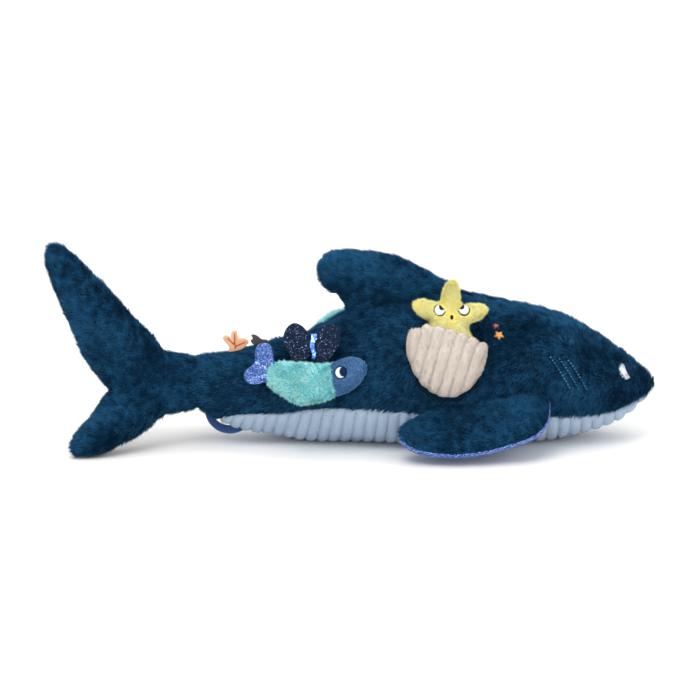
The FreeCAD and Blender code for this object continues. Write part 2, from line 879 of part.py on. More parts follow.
def build_fish():
    """Two body covers, a head cover, filling, a tail, an eye, two wings and a foil strip."""
    half = (size("fish_length") / 2, size("fish_height") / 2)
    outline = [(across * half[0], up * half[1]) for across, up in FISH_OUTLINE]
    place = fish_place()
    form = pillow("fish_form", outline, (0, 0), "fish_thickness", [], place)
    hollow = pillow("fish_hollow", outline, (0, 0), "fish_thickness", ["star_skin"], place)
    shell = cut("fish_shell", form, hollow)
    ahead = Placement(Vector(FISH_HEAD_FROM * half[0], 0, 0), Rotation(ALONG_Y, 90))
    head = half_space("fish_head_zone", place * ahead)
    front = half_space("fish_split", place)
    piece("fish_head", common("fish_head", shell, head))
    body = cut("fish_body_shell", shell, head)
    piece("fish_body_front", common("fish_body_front", body, front))
    piece("fish_body_back", cut("fish_body_back", body, front))
    inset = ["star_skin", "fill_gap"]
    piece("fish_filling", pillow("fish_filling", outline, (0, 0), "fish_thickness", inset, place))
    tail_outline = face("fish_tail_outline", [(x * half[0], y * half[1]) for x, y in FISH_TAIL])
    tail_outline.Placement = place
    normal = place.Rotation.multVec(ALONG_Z)
    tail = extrusion("fish_tail_plate", tail_outline, normal, f"2 * {cell('star_skin')}", both_ways=True)
    piece("fish_tail", cut("fish_tail", tail, form))
    height = f"{cell('fish_thickness')} / 2 + {cell('thread')}"
    white = button("fish_white", form, place, FISH_EYE[0], FISH_EYE[1], FISH_EYE_RADIUS, height)
    ahead_x = FISH_EYE[0] + FISH_PUPIL_SHIFT
    dark = button("fish_dark", form, place, ahead_x, FISH_EYE[1], FISH_PUPIL_RADIUS, height)
    piece("fish_eye_white", cut("fish_eye_white", white, dark))
    piece("fish_eye_pupil", dark)
    build_wing("wing_rear", WING_ROOTS[0], WING_TURNS[0], 0.0)
    build_wing("wing_front", WING_ROOTS[1], WING_TURNS[1], 2 * size("net"))
    build_foil()


WING_ROOM = 5.0
# Share of the wing's width and share of its length, from the root up.
WING_OUTLINE = [
    (-0.30, 0.00),
    (-0.42, 0.30),
    (-0.49, 0.62),
    (-0.33, 0.87),
    (0.00, 1.00),
    (0.33, 0.85),
    (0.48, 0.58),
    (0.42, 0.26),
    (0.30, 0.00),
]
WING_ROOTS = (-12.5, 4.5)
WING_TURNS = (12.0, -24.0)


def wing_place(x, layer):
    """The root of a wing, just above the fish's top edge."""
    rise = FISH_TOP * size("fish_height") / 2 + WING_ROOM
    return fish_place() * Placement(Vector(x, rise, layer), Rotation())


def build_wing(name, x, turn, layer):
    points = [(across * size("wing_width"), up * size("wing_length")) for across, up in WING_OUTLINE]
    outline = face(f"{name}_outline", points)
    place = wing_place(x, layer) * Placement(Vector(), Rotation(ALONG_Z, turn))
    outline.Placement = place
    piece(name, extrusion(name, outline, place.Rotation.multVec(ALONG_Z), cell("net")))


FOIL_WIDTH = 5.5
FOIL_LENGTH = 22.0
FOIL_ROOT = -0.8


def build_foil():
    """A folded strip of foil in front of the front wing."""
    made = add("Part::Box", "foil_ribbon")
    made.Length = FOIL_WIDTH
    made.Width = FOIL_LENGTH
    made.setExpression("Height", cell("net"))
    corner = Placement(Vector(-FOIL_WIDTH / 2, 0, 0), Rotation())
    made.Placement = wing_place(FOIL_ROOT, 4 * size("net")) * corner
    piece("foil_ribbon", made)


# Tabs and ribbon.

CORAL_ALONG = 0.888
GREY_ALONG = 0.834
TAB_ROOM = 1.5
# X and Z as shares of the tab's height, from the middle of its base.
CORAL_OUTLINE = [
    (-0.32, 0.00),
    (-0.44, 0.38),
    (-0.60, 0.66),
    (-0.42, 0.78),
    (-0.20, 0.62),
    (-0.16, 0.94),
    (0.06, 1.00),
    (0.16, 0.66),
    (0.46, 0.62),
    (0.68, 0.42),
    (0.52, 0.22),
    (0.30, 0.02),
]
GREY_OUTLINE = [
    (0.75, 0.00),
    (0.60, 0.45),
    (0.10, 0.52),
    (-0.55, 0.95),
    (-0.95, 0.92),
    (-0.80, 0.55),
    (-1.00, 0.42),
    (-0.85, 0.10),
    (-0.60, -0.10),
]
VEINS = [((0.0, 0.10), (-0.02, 0.86)), ((-0.06, 0.34), (-0.36, 0.64)), ((0.04, 0.24), (0.50, 0.44))]
VEIN_WIDTH = 1.4


def crest_place(along):
    """An upright frame on the crest of the back: X forward, Y up, Z to the right."""
    centre, radius = body_section(along_body(along))
    return Placement(centre + ALONG_Z * (radius + TAB_ROOM), UPRIGHT)


def build_tab(name, along, outline, height):
    """An upright cloth tab on the crest, just clear of the skin so that it can fold over."""
    tall = size(height)
    shape = face(f"{name}_outline", [(x * tall, y * tall) for x, y in outline])
    shape.Placement = crest_place(along)
    return extrusion(f"{name}_plate", shape, ALONG_Y, cell("tab_thickness"), both_ways=True)


def build_tabs():
    room = body_form("tab_clearance", f"{TAB_ROOM}")
    coral = build_tab("coral", CORAL_ALONG, CORAL_OUTLINE, "coral_height")
    piece("coral_frond", cut("coral_frond", coral, room))
    bars = []
    place = crest_place(CORAL_ALONG)
    for number, (start, end) in enumerate(VEINS):
        tall = size("coral_height")
        low = place.multVec(Vector(start[0] * tall, start[1] * tall, 0))
        high = place.multVec(Vector(end[0] * tall, end[1] * tall, 0))
        vein = bar(f"coral_vein_{number}", low, high, VEIN_WIDTH, 1)
        vein.setExpression("LengthFwd", f"{cell('tab_thickness')} + {cell('thread')}")
        vein.Symmetric = True
        bars.append(vein)
    piece("coral_veins", cut("coral_veins", cut("veins_clear", fuse("coral_bars", bars), coral), room))
    grey = build_tab("grey", GREY_ALONG, GREY_OUTLINE, "grey_height")
    piece("grey_frond", cut("grey_frond", grey, room))


RIBBON_ALONG = 0.900
RIBBON_DROP = 9.5
RIBBON_ROOM = 1.6


def build_ribbon():
    """A tape looped down from the belly, with both ends at the skin."""
    centre, radius = body_section(along_body(RIBBON_ALONG))
    low = centre - ALONG_Z * (radius + RIBBON_DROP)
    middle = low + ALONG_Z * size("ribbon_radius") + ALONG_Y * size("ribbon_width") / 2
    place = Placement(middle, UPRIGHT)
    outside = cylinder("ribbon_outside", cell("ribbon_radius"), cell("ribbon_width"), place)
    inner_radius = f"{cell('ribbon_radius')} - {cell('ribbon_thickness')}"
    inside = cylinder("ribbon_inside", inner_radius, cell("ribbon_width"), place)
    hoop = cut("ribbon_hoop", outside, inside)
    room = body_form("ribbon_clearance", f"{RIBBON_ROOM}")
    below = half_space("below_ribbon_middle", Placement(middle, Rotation(ALONG_X, 180)))
    piece("ribbon_loop", common("ribbon_loop", cut("ribbon_clear", hoop, room), below))


# Build, check and write.


def check(objects):
    """Stop if any object failed, or a piece has no sound shape."""
    for made in objects:
        if "Invalid" in made.State or "Error" in made.State:
            raise RuntimeError(f"{made.Label} failed: {made.State}")
    for name, made in PIECES.items():
        if made.Shape.isNull() or not made.Shape.isValid() or not made.Shape.Solids:
            raise RuntimeError(f"{name} has no sound shape")


def write():
    os.makedirs("parts", exist_ok=True)
    for name, made in PIECES.items():
        made.Shape.exportStep(f"parts/{name}.step")
        box = made.Shape.optimalBoundingBox(False)
        print(
            f"{name:20s} {len(made.Shape.Solids)} solid, {made.Shape.Volume / 1000:8.2f} cm3,"
            f" X {box.XMin:7.1f} {box.XMax:7.1f}, Y {box.YMin:7.1f} {box.YMax:7.1f},"
            f" Z {box.ZMin:6.1f} {box.ZMax:6.1f}"
        )


outer_skin = build_body()
build_embroidery(outer_skin)
build_teal_patch(outer_skin)
build_tail()
build_dorsal()
build_fins()
build_pocket(outer_skin)
build_star()
build_fish()
build_tabs()
build_ribbon()
doc.recompute()
check(doc.Objects)
write()
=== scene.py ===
import json
import math

import bmesh
import bpy
import numpy as np
from mathutils import Matrix, Vector, noise
from mathutils.bvhtree import BVHTree


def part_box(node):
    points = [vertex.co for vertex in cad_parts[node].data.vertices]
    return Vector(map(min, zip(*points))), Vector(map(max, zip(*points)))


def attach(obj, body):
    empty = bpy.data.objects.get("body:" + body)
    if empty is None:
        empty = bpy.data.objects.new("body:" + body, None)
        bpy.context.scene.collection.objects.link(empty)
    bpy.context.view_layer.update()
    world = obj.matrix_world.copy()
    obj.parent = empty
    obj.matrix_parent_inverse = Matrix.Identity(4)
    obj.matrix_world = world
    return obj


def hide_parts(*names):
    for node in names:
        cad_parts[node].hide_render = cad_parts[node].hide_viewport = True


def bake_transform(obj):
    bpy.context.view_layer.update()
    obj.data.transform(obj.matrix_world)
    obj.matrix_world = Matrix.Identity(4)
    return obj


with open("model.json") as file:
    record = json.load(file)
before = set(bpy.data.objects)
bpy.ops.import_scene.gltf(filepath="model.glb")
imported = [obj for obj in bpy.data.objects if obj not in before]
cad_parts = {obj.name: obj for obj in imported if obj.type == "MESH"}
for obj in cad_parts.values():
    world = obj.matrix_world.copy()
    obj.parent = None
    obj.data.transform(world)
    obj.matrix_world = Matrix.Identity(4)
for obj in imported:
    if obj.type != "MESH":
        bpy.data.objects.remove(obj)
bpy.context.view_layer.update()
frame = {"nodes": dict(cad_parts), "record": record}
scene = bpy.context.scene
mm = 0.001


# mesh helpers

def deselect():
    bpy.ops.object.select_all(action="DESELECT")


def activate(piece):
    deselect()
    piece.select_set(True)
    bpy.context.view_layer.objects.active = piece


def applyAll(piece):
    activate(piece)
    for modifier in list(piece.modifiers):
        bpy.ops.object.modifier_apply(modifier=modifier.name)


def copyOf(name, nodes):
    # one loose copy of the CAD nodes, welded, with its place in its mesh
    deselect()
    for node in nodes:
        twin = frame["nodes"][node].copy()
        twin.data = twin.data.copy()
        twin.parent = None
        twin.matrix_world = Matrix()
        bpy.context.collection.objects.link(twin)
        twin.hide_viewport = twin.hide_render = False
        twin.hide_set(False)
        twin.select_set(True)
        bpy.context.view_layer.objects.active = twin
    if len(nodes) > 1:
        bpy.ops.object.join()
    piece = bpy.context.view_layer.objects.active
    piece.name = name
    piece.data.name = name
    piece.data.materials.clear()
    bpy.ops.object.mode_set(mode="EDIT")
    bpy.ops.mesh.select_all(action="SELECT")
    bpy.ops.mesh.remove_doubles(threshold=0.00002)
    bpy.ops.mesh.normals_make_consistent(inside=False)
    bpy.ops.object.mode_set(mode="OBJECT")
    return piece


def coords(piece):
    flat = np.empty(len(piece.data.vertices) * 3)
    piece.data.vertices.foreach_get("co", flat)
    return flat.reshape(-1, 3)


def normals(piece):
    flat = np.empty(len(piece.data.vertices) * 3)
    piece.data.vertices.foreach_get("normal", flat)
    return flat.reshape(-1, 3)


def setCoords(piece, places):
    piece.data.vertices.foreach_set("co", places.ravel())
    piece.data.update()


def pushOut(piece, amount):
    # amount is a number, or one value for each vertex
    setCoords(piece, coords(piece) + normals(piece) * np.reshape(amount, (-1, 1)))


def remesh(piece, voxel):
    maker = piece.modifiers.new("voxels", "REMESH")
    maker.mode = "VOXEL"
    maker.voxel_size = voxel
    applyAll(piece)


def relax(piece, rounds, factor=0.5):
    maker = piece.modifiers.new("relax", "SMOOTH")
    maker.iterations = rounds
    maker.factor = factor
    applyAll(piece)


def subdivide(piece, levels=1):
    maker = piece.modifiers.new("finer", "SUBSURF")
    maker.levels = levels
    maker.render_levels = levels
    applyAll(piece)


def smooth(piece):
    piece.data.polygons.foreach_set("use_smooth", [True] * len(piece.data.polygons))
    piece.data.update()


def noiseAt(places, size, seed=0.0):
    # smooth noise from -1 to 1 for each place
    shift = Vector((seed, seed * 1.7, -seed))
    return np.array([noise.noise(Vector(place) / size + shift) for place in places])


def noiseVectors(places, size, seed=0.0):
    shift = Vector((seed, seed * 1.7, -seed))
    return np.array([noise.noise_vector(Vector(place) / size + shift) for place in places])


def unit(vectors):
    return vectors / np.maximum(np.linalg.norm(vectors, axis=1, keepdims=True), 1e-9)


def treeOf(piece):
    mesh = piece.data
    faces = [tuple(face.vertices) for face in mesh.polygons]
    return BVHTree.FromPolygons([vertex.co for vertex in mesh.vertices], faces)


def puff(piece, steps=16, pressure=4.0, cap=2.5 * mm, stiffness=15.0):
    # the cover fills out like stuffed cloth, and no point moves further than the cap
    before = coords(piece)
    cloth = piece.modifiers.new("stuffing", "CLOTH")
    cloth.settings.quality = 5
    cloth.settings.mass = 0.3
    cloth.settings.tension_stiffness = stiffness
    cloth.settings.compression_stiffness = stiffness
    cloth.settings.bending_stiffness = 0.5
    cloth.settings.use_pressure = True
    cloth.settings.uniform_pressure_force = pressure
    cloth.settings.effector_weights.gravity = 0
    cloth.point_cache.frame_start = 1
    cloth.point_cache.frame_end = steps + 1
    cloth.collision_settings.use_collision = False
    for number in range(1, steps + 1):
        scene.frame_set(number)
    applyAll(piece)
    scene.frame_set(1)
    move = coords(piece) - before
    reach = np.linalg.norm(move, axis=1, keepdims=True)
    setCoords(piece, before + move * np.minimum(1, cap / np.maximum(reach, 1e-9)))


# fur

def scatter(skin, count, rng):
    # places spread evenly over the skin, with the skin's normal at each
    mesh = skin.data
    mesh.calc_loop_triangles()
    corners = np.empty(len(mesh.loop_triangles) * 3, dtype=np.int32)
    mesh.loop_triangles.foreach_get("vertices", corners)
    corners = corners.reshape(-1, 3)
    points = coords(skin)
    aims = normals(skin)
    a, b, c = points[corners[:, 0]], points[corners[:, 1]], points[corners[:, 2]]
    area = np.linalg.norm(np.cross(b - a, c - a), axis=1)
    chosen = rng.choice(len(corners), count, p=area / area.sum())
    u, v = rng.random(count), rng.random(count)
    flip = u + v > 1
    u[flip], v[flip] = 1 - u[flip], 1 - v[flip]
    w = 1 - u - v
    weights = np.stack([w, u, v], axis=1)[:, :, None]
    places = (points[corners[chosen]] * weights).sum(axis=1)
    return places, unit((aims[corners[chosen]] * weights).sum(axis=1))


def tuftPiece(name, roots, sides, lifts, tips, shade):
    # each tuft is a closed sliver of four faces, with a cell of its own in the map
    count = len(roots)
    spots = np.empty((count, 4, 3))
    spots[:, 0] = roots + sides
    spots[:, 1] = roots - sides
    spots[:, 2] = roots + lifts
    spots[:, 3] = tips
    pattern = np.array([[0, 1, 2], [1, 0, 3], [0, 2, 3], [2, 1, 3]])
    index = (np.arange(count)[:, None, None] * 4 + pattern[None]).reshape(-1)
    mesh = bpy.data.meshes.new(name)
    mesh.vertices.add(count * 4)
    mesh.vertices.foreach_set("co", spots.ravel())
    mesh.loops.add(count * 12)
    mesh.loops.foreach_set("vertex_index", index)
    mesh.polygons.add(count * 4)
    mesh.polygons.foreach_set("loop_start", np.arange(count * 4) * 3)
    mesh.polygons.foreach_set("use_smooth", np.ones(count * 4, dtype=bool))
    grid = math.ceil(math.sqrt(count))
    cellX = (np.arange(count) % grid) / grid
    cellY = (np.arange(count) // grid) / grid
    across = np.array([0.1, 0.9, 0.5, 0.5]) / grid
    up = np.array([0.1, 0.1, 0.14, 0.9]) / grid
    corner = index % 4
    owner = index // 4
    layer = mesh.uv_layers.new(name="OFBake")
    spread = np.stack([cellX[owner] + across[corner], cellY[owner] + up[corner]], 1)
    layer.uv.foreach_set("vector", spread.ravel())
    # along runs from 0 at the root of each tuft to 1 at its tip; the pile colour uses it to paint shade near
    # the root
    along = mesh.attributes.new("along", "FLOAT", "POINT")
    along.data.foreach_set("value", np.tile([0.0, 0.0, 0.1, 1.0], count))
    tone = mesh.attributes.new("tone", "FLOAT", "POINT")
    tone.data.foreach_set("value", np.repeat(shade, 4))
    mesh.update(calc_edges=True)
    mesh.validate()
    piece = bpy.data.objects.new(name, mesh)
    bpy.context.collection.objects.link(piece)
    return piece


def plant(name, skin, coat, keep=None):
    # tufts of pile over the skin, in pieces of at most 45000
    rng = np.random.default_rng(coat["seed"])
    places, aims = scatter(skin, coat["count"], rng)
    if keep is not None:
        wanted = keep(places)
        places, aims = places[wanted], aims[wanted]
    count = len(places)
    nap = np.array(coat["nap"]) + noiseVectors(places, coat["swirl"], coat["seed"]) * coat["stray"]
    nap += noiseVectors(places, coat["clump"], coat["seed"] + 9) * coat["stray"] * 0.6
    nap += rng.normal(0, 0.12, (count, 3))
    lay = unit(nap - aims * (nap * aims).sum(axis=1, keepdims=True))
    clumps = noiseAt(places, coat["clump"], coat["seed"] + 3)
    lean = np.radians(coat["lean"] + clumps * 26 + rng.normal(0, 6, count))
    aim = aims * np.sin(lean)[:, None] + lay * np.cos(lean)[:, None]
    side = unit(np.cross(aims, aim))
    lift = np.cross(aim, side)
    length = coat["length"] * (1 + 0.25 * rng.normal(0, 1, count).clip(-1.6, 1.6))
    width = coat["width"] * (0.8 + 0.4 * rng.random(count))
    roots = places - aims * 0.3 * mm
    tips = roots + aim * length[:, None] + side * (rng.normal(0, 0.1, count) * length)[:, None]
    tips[:, 2] = np.maximum(tips[:, 2], 0.3 * mm)
    # painted nap shading: soft noise patches of lighter and darker tufts, with some random tone per tuft
    shade = 0.5 + 0.55 * noiseAt(places, coat["clump"] * 0.6, coat["seed"] + 3) + rng.normal(0, 0.22, count)
    shade += 0.6 * noiseAt(places, coat["swirl"] * 0.8, coat["seed"] + 5)
    order = np.argsort(places[:, 0])
    made = []
    parts = max(1, math.ceil(count / 45000))
    for number, chosen in enumerate(np.array_split(order, parts)):
        label = name if parts == 1 else f"{name}{number + 1}"
        half = (side * width[:, None] / 2)[chosen]
        rise = (lift * width[:, None] * 0.35)[chosen]
        made.append(tuftPiece(label, roots[chosen], half, rise, tips[chosen], shade[chosen].clip(0, 1)))
    print("  tufts", name, count)
    return made


# shader groups

def newGroup(name, inputs, outputs):
    tree = bpy.data.node_groups.new(name, "ShaderNodeTree")
    for label, kind, value in inputs:
        socket = tree.interface.new_socket(name=label, in_out="INPUT", socket_type=kind)
        socket.default_value = value
    for label, kind in outputs:
        tree.interface.new_socket(name=label, in_out="OUTPUT", socket_type=kind)
    return tree, tree.nodes.new("NodeGroupInput"), tree.nodes.new("NodeGroupOutput")


def node(tree, kind, **settings):
    made = tree.nodes.new(kind)
    for key, value in settings.items():
        setattr(made, key, value)
    return made


def blendColour(tree, mask, first, second, way="MIX"):
    mixer = node(tree, "ShaderNodeMix", data_type="RGBA", blend_type=way)
    for socket, source in ((mixer.inputs[0], mask), (mixer.inputs[6], first), (mixer.inputs[7], second)):
        if hasattr(source, "is_linked"):
            tree.links.new(source, socket)
        elif isinstance(source, (int, float)):
            socket.default_value = source
        else:
            socket.default_value = (*source, 1)
    return mixer.outputs[2]


def remap(tree, source, low, high, newLow=0.0, newHigh=1.0):
    made = node(tree, "ShaderNodeMapRange")
    made.inputs["From Min"].default_value = low
    made.inputs["From Max"].default_value = high
    made.inputs["To Min"].default_value = newLow
    made.inputs["To Max"].default_value = newHigh
    tree.links.new(source, made.inputs["Value"])
    return made.outputs["Result"]


def makePileGroup():
    # pile: painted shade at the root; the body and tip colours are shaded and lit copies of one colour, mixed
    # in soft patches of painted nap shading with some random tone
    tree, ins, outs = newGroup("pileColour", [
        ("Along", "NodeSocketFloat", 0.5), ("Tone", "NodeSocketFloat", 0.5),
        ("Root", "NodeSocketColor", (0, 0, 0, 1)), ("Body", "NodeSocketColor", (0, 0, 0, 1)),
        ("Tip", "NodeSocketColor", (1, 1, 1, 1)), ("PatchScale", "NodeSocketFloat", 30.0),
    ], [("Color", "NodeSocketColor"), ("Patch", "NodeSocketFloat")])
    place = node(tree, "ShaderNodeTexCoord")
    patch = node(tree, "ShaderNodeTexNoise")
    tree.links.new(place.outputs["Object"], patch.inputs["Vector"])
    tree.links.new(ins.outputs["PatchScale"], patch.inputs["Scale"])
    tone = node(tree, "ShaderNodeMath", operation="MULTIPLY_ADD")
    tree.links.new(patch.outputs["Fac"], tone.inputs[0])
    tone.inputs[1].default_value = 0.35
    tree.links.new(remap(tree, ins.outputs["Tone"], 0, 1, -0.35, 0.85), tone.inputs[2])
    # painted nap shading: the tone patches mix the shaded body copy towards the lit tip copy
    toTip = blendColour(tree, tone.outputs[0], ins.outputs["Body"], ins.outputs["Tip"])
    # painted shade: the colour darkens to the root colour near the root of each tuft
    full = blendColour(tree, remap(tree, ins.outputs["Along"], 0.0, 0.55), ins.outputs["Root"], toTip)
    tree.links.new(full, outs.inputs["Color"])
    tree.links.new(patch.outputs["Fac"], outs.inputs["Patch"])
    return tree


def makeNapGroup():
    # short nap and fine fibre relief on cut cloth
    tree, ins, outs = newGroup("napRelief", [
        ("Scale", "NodeSocketFloat", 900.0), ("Base", "NodeSocketColor", (1, 1, 1, 1)),
        ("Shade", "NodeSocketColor", (0, 0, 0, 1)), ("Mottle", "NodeSocketFloat", 0.5),
    ], [("Color", "NodeSocketColor"), ("Height", "NodeSocketFloat")])
    place = node(tree, "ShaderNodeTexCoord")
    fine = node(tree, "ShaderNodeTexNoise")
    fine.inputs["Detail"].default_value = 5
    fine.inputs["Roughness"].default_value = 0.7
    tree.links.new(place.outputs["Object"], fine.inputs["Vector"])
    tree.links.new(ins.outputs["Scale"], fine.inputs["Scale"])
    broad = node(tree, "ShaderNodeTexNoise")
    broad.inputs["Scale"].default_value = 55
    broad.inputs["Detail"].default_value = 3
    tree.links.new(place.outputs["Object"], broad.inputs["Vector"])
    both = node(tree, "ShaderNodeMath", operation="MULTIPLY_ADD")
    tree.links.new(fine.outputs["Fac"], both.inputs[0])
    both.inputs[1].default_value = 0.6
    tree.links.new(remap(tree, broad.outputs["Fac"], 0.25, 0.75, 0, 0.4), both.inputs[2])
    amount = node(tree, "ShaderNodeMath", operation="MULTIPLY")
    tree.links.new(both.outputs[0], amount.inputs[0])
    tree.links.new(ins.outputs["Mottle"], amount.inputs[1])
    mixed = blendColour(tree, amount.outputs[0], ins.outputs["Base"], ins.outputs["Shade"])
    tree.links.new(mixed, outs.inputs["Color"])
    tree.links.new(fine.outputs["Fac"], outs.inputs["Height"])
    return tree


def makeThreadGroup():
    # laid satin threads, side by side across the given direction; Tone paints shade in the grooves between them
    tree, ins, outs = newGroup("satinThreads", [
        ("Pitch", "NodeSocketFloat", 0.0005), ("Direction", "NodeSocketVector", (1, 0, 0)),
    ], [("Height", "NodeSocketFloat"), ("Tone", "NodeSocketFloat")])
    place = node(tree, "ShaderNodeTexCoord")
    wobble = node(tree, "ShaderNodeTexNoise")
    wobble.inputs["Scale"].default_value = 250
    tree.links.new(place.outputs["Object"], wobble.inputs["Vector"])
    across = node(tree, "ShaderNodeVectorMath", operation="DOT_PRODUCT")
    tree.links.new(place.outputs["Object"], across.inputs[0])
    tree.links.new(ins.outputs["Direction"], across.inputs[1])
    count = node(tree, "ShaderNodeMath", operation="DIVIDE")
    tree.links.new(across.outputs["Value"], count.inputs[0])
    tree.links.new(ins.outputs["Pitch"], count.inputs[1])
    shifted = node(tree, "ShaderNodeMath", operation="MULTIPLY_ADD")
    tree.links.new(wobble.outputs["Fac"], shifted.inputs[0])
    shifted.inputs[1].default_value = 0.8
    tree.links.new(count.outputs[0], shifted.inputs[2])
    wave = node(tree, "ShaderNodeMath", operation="PINGPONG")
    wave.inputs[1].default_value = 0.5
    tree.links.new(shifted.outputs[0], wave.inputs[0])
    height = remap(tree, wave.outputs[0], 0, 0.5)
    tree.links.new(height, outs.inputs["Height"])
    tree.links.new(remap(tree, height, 0, 1, 0.75, 1.0), outs.inputs["Tone"])
    return tree


def makeGlitterGroup():
    # flakes of foil strewn over dark cloth
    tree, ins, outs = newGroup("glitterFlakes", [
        ("Scale", "NodeSocketFloat", 1400.0), ("Amount", "NodeSocketFloat", 0.3),
        ("Cloth", "NodeSocketColor", (0, 0, 0, 1)), ("Flake", "NodeSocketColor", (1, 1, 1, 1)),
    ], [("Color", "NodeSocketColor"), ("Mask", "NodeSocketFloat"), ("Height", "NodeSocketFloat")])
    place = node(tree, "ShaderNodeTexCoord")
    cells = node(tree, "ShaderNodeTexVoronoi")
    tree.links.new(place.outputs["Object"], cells.inputs["Vector"])
    tree.links.new(ins.outputs["Scale"], cells.inputs["Scale"])
    split = node(tree, "ShaderNodeSeparateColor")
    tree.links.new(cells.outputs["Color"], split.inputs["Color"])
    lit = node(tree, "ShaderNodeMath", operation="LESS_THAN")
    tree.links.new(split.outputs["Red"], lit.inputs[0])
    tree.links.new(ins.outputs["Amount"], lit.inputs[1])
    hue = blendColour(tree, split.outputs["Green"], ins.outputs["Flake"], (0.20, 0.36, 0.85))
    pink = node(tree, "ShaderNodeMath", operation="GREATER_THAN")
    tree.links.new(split.outputs["Blue"], pink.inputs[0])
    pink.inputs[1].default_value = 0.86
    warm = blendColour(tree, pink.outputs[0], hue, (0.75, 0.80, 1.0))
    tree.links.new(blendColour(tree, lit.outputs[0], ins.outputs["Cloth"], warm), outs.inputs["Color"])
    tree.links.new(lit.outputs[0], outs.inputs["Mask"])
    tree.links.new(split.outputs["Green"], outs.inputs["Height"])
    return tree


pileGroup = makePileGroup()
napGroup = makeNapGroup()
threadGroup = makeThreadGroup()
glitterGroup = makeGlitterGroup()


# materials

def startMaterial(name, roughness=0.9, sheen=0.0, tint=(1, 1, 1), specular=0.08):
    material = bpy.data.materials.new(name)
    material.use_nodes = True
    tree = material.node_tree
    shader = tree.nodes["Principled BSDF"]
    shader.inputs["Roughness"].default_value = roughness
    shader.inputs["Sheen Weight"].default_value = sheen
    shader.inputs["Sheen Roughness"].default_value = 0.5
    shader.inputs["Sheen Tint"].default_value = (*tint, 1)
    shader.inputs["Specular IOR Level"].default_value = specular
    return material, tree, shader


def useGroup(tree, group, **values):
    made = node(tree, "ShaderNodeGroup", node_tree=group)
    for key, value in values.items():
        if hasattr(value, "is_linked"):
            tree.links.new(value, made.inputs[key])
        else:
            made.inputs[key].default_value = value
    return made


def relief(tree, shader, height, distance, strength=1.0):
    bump = node(tree, "ShaderNodeBump")
    bump.inputs["Strength"].default_value = strength
    bump.inputs["Distance"].default_value = distance
    tree.links.new(height, bump.inputs["Height"])
    tree.links.new(bump.outputs["Normal"], shader.inputs["Normal"])


def pileMaterial(name, look):
    bloom = look.get("bloom", look["tip"])
    material, tree, shader = startMaterial(name, 0.75, look.get("sheen", 0.25), bloom, 0.06)
    along = node(tree, "ShaderNodeAttribute", attribute_name="along")
    tone = node(tree, "ShaderNodeAttribute", attribute_name="tone")
    colour = useGroup(tree, pileGroup, Along=along.outputs["Fac"], Tone=tone.outputs["Fac"],
                      Root=(*look["root"], 1), Body=(*look["body"], 1), Tip=(*look["tip"], 1),
                      PatchScale=look["patch"])
    tree.links.new(colour.outputs["Color"], shader.inputs["Base Color"])
    tree.links.new(remap(tree, colour.outputs["Patch"], 0.3, 0.7, 0.68, 0.85), shader.inputs["Roughness"])
    return material


def clothMaterial(name, base, shade, scale=900.0, mottle=0.6, depth=0.25 * mm, sheen=0.3, roughness=0.92):
    material, tree, shader = startMaterial(name, roughness, sheen, base)
    nap = useGroup(tree, napGroup, Scale=scale, Base=(*base, 1), Shade=(*shade, 1), Mottle=mottle)
    tree.links.new(nap.outputs["Color"], shader.inputs["Base Color"])
    relief(tree, shader, nap.outputs["Height"], depth)
    return material


def stitchMaterial(name, colour, direction, pitch=0.55 * mm, gloss=0.4):
    material, tree, shader = startMaterial(name, 0.5, 0.05, colour, gloss)
    threads = useGroup(tree, threadGroup, Pitch=pitch, Direction=direction)
    # painted shade: the thread colour darkens in the grooves between threads
    dark = [value * 0.55 for value in colour]
    tint = blendColour(tree, threads.outputs["Tone"], dark, colour)
    tree.links.new(tint, shader.inputs["Base Color"])
    tree.links.new(remap(tree, threads.outputs["Height"], 0, 1, 0.6, 0.4), shader.inputs["Roughness"])
    relief(tree, shader, threads.outputs["Height"], 0.18 * mm)
    return material


def glitterMaterial(name, cloth, flake, amount, scale):
    material, tree, shader = startMaterial(name, 0.6, 0.1)
    flakes = useGroup(tree, glitterGroup, Scale=scale, Amount=amount, Cloth=(*cloth, 1), Flake=(*flake, 1))
    tree.links.new(flakes.outputs["Color"], shader.inputs["Base Color"])
    tree.links.new(remap(tree, flakes.outputs["Mask"], 0, 1, 0, 0.85), shader.inputs["Metallic"])
    tree.links.new(remap(tree, flakes.outputs["Mask"], 0, 1, 0.7, 0.28), shader.inputs["Roughness"])
    relief(tree, shader, flakes.outputs["Height"], 0.12 * mm)
    return material


def netMaterial(name):
    # fine net, see-through between its threads, with sparse flakes
    material, tree, shader = startMaterial(name, 0.55, 0.15)
    flakes = useGroup(tree, glitterGroup, Scale=1900.0, Amount=0.035,
                      Cloth=(0.004, 0.012, 0.035, 1), Flake=(0.22, 0.27, 0.42, 1))
    tree.links.new(flakes.outputs["Color"], shader.inputs["Base Color"])
    place = node(tree, "ShaderNodeTexCoord")
    holes = node(tree, "ShaderNodeTexVoronoi", feature="DISTANCE_TO_EDGE")
    holes.inputs["Scale"].default_value = 800
    tree.links.new(place.outputs["Object"], holes.inputs["Vector"])
    solid = node(tree, "ShaderNodeMath", operation="LESS_THAN")
    tree.links.new(holes.outputs["Distance"], solid.inputs[0])
    solid.inputs[1].default_value = 0.24
    tree.links.new(remap(tree, solid.outputs[0], 0, 1, 0.45, 1.0), shader.inputs["Alpha"])
    return material


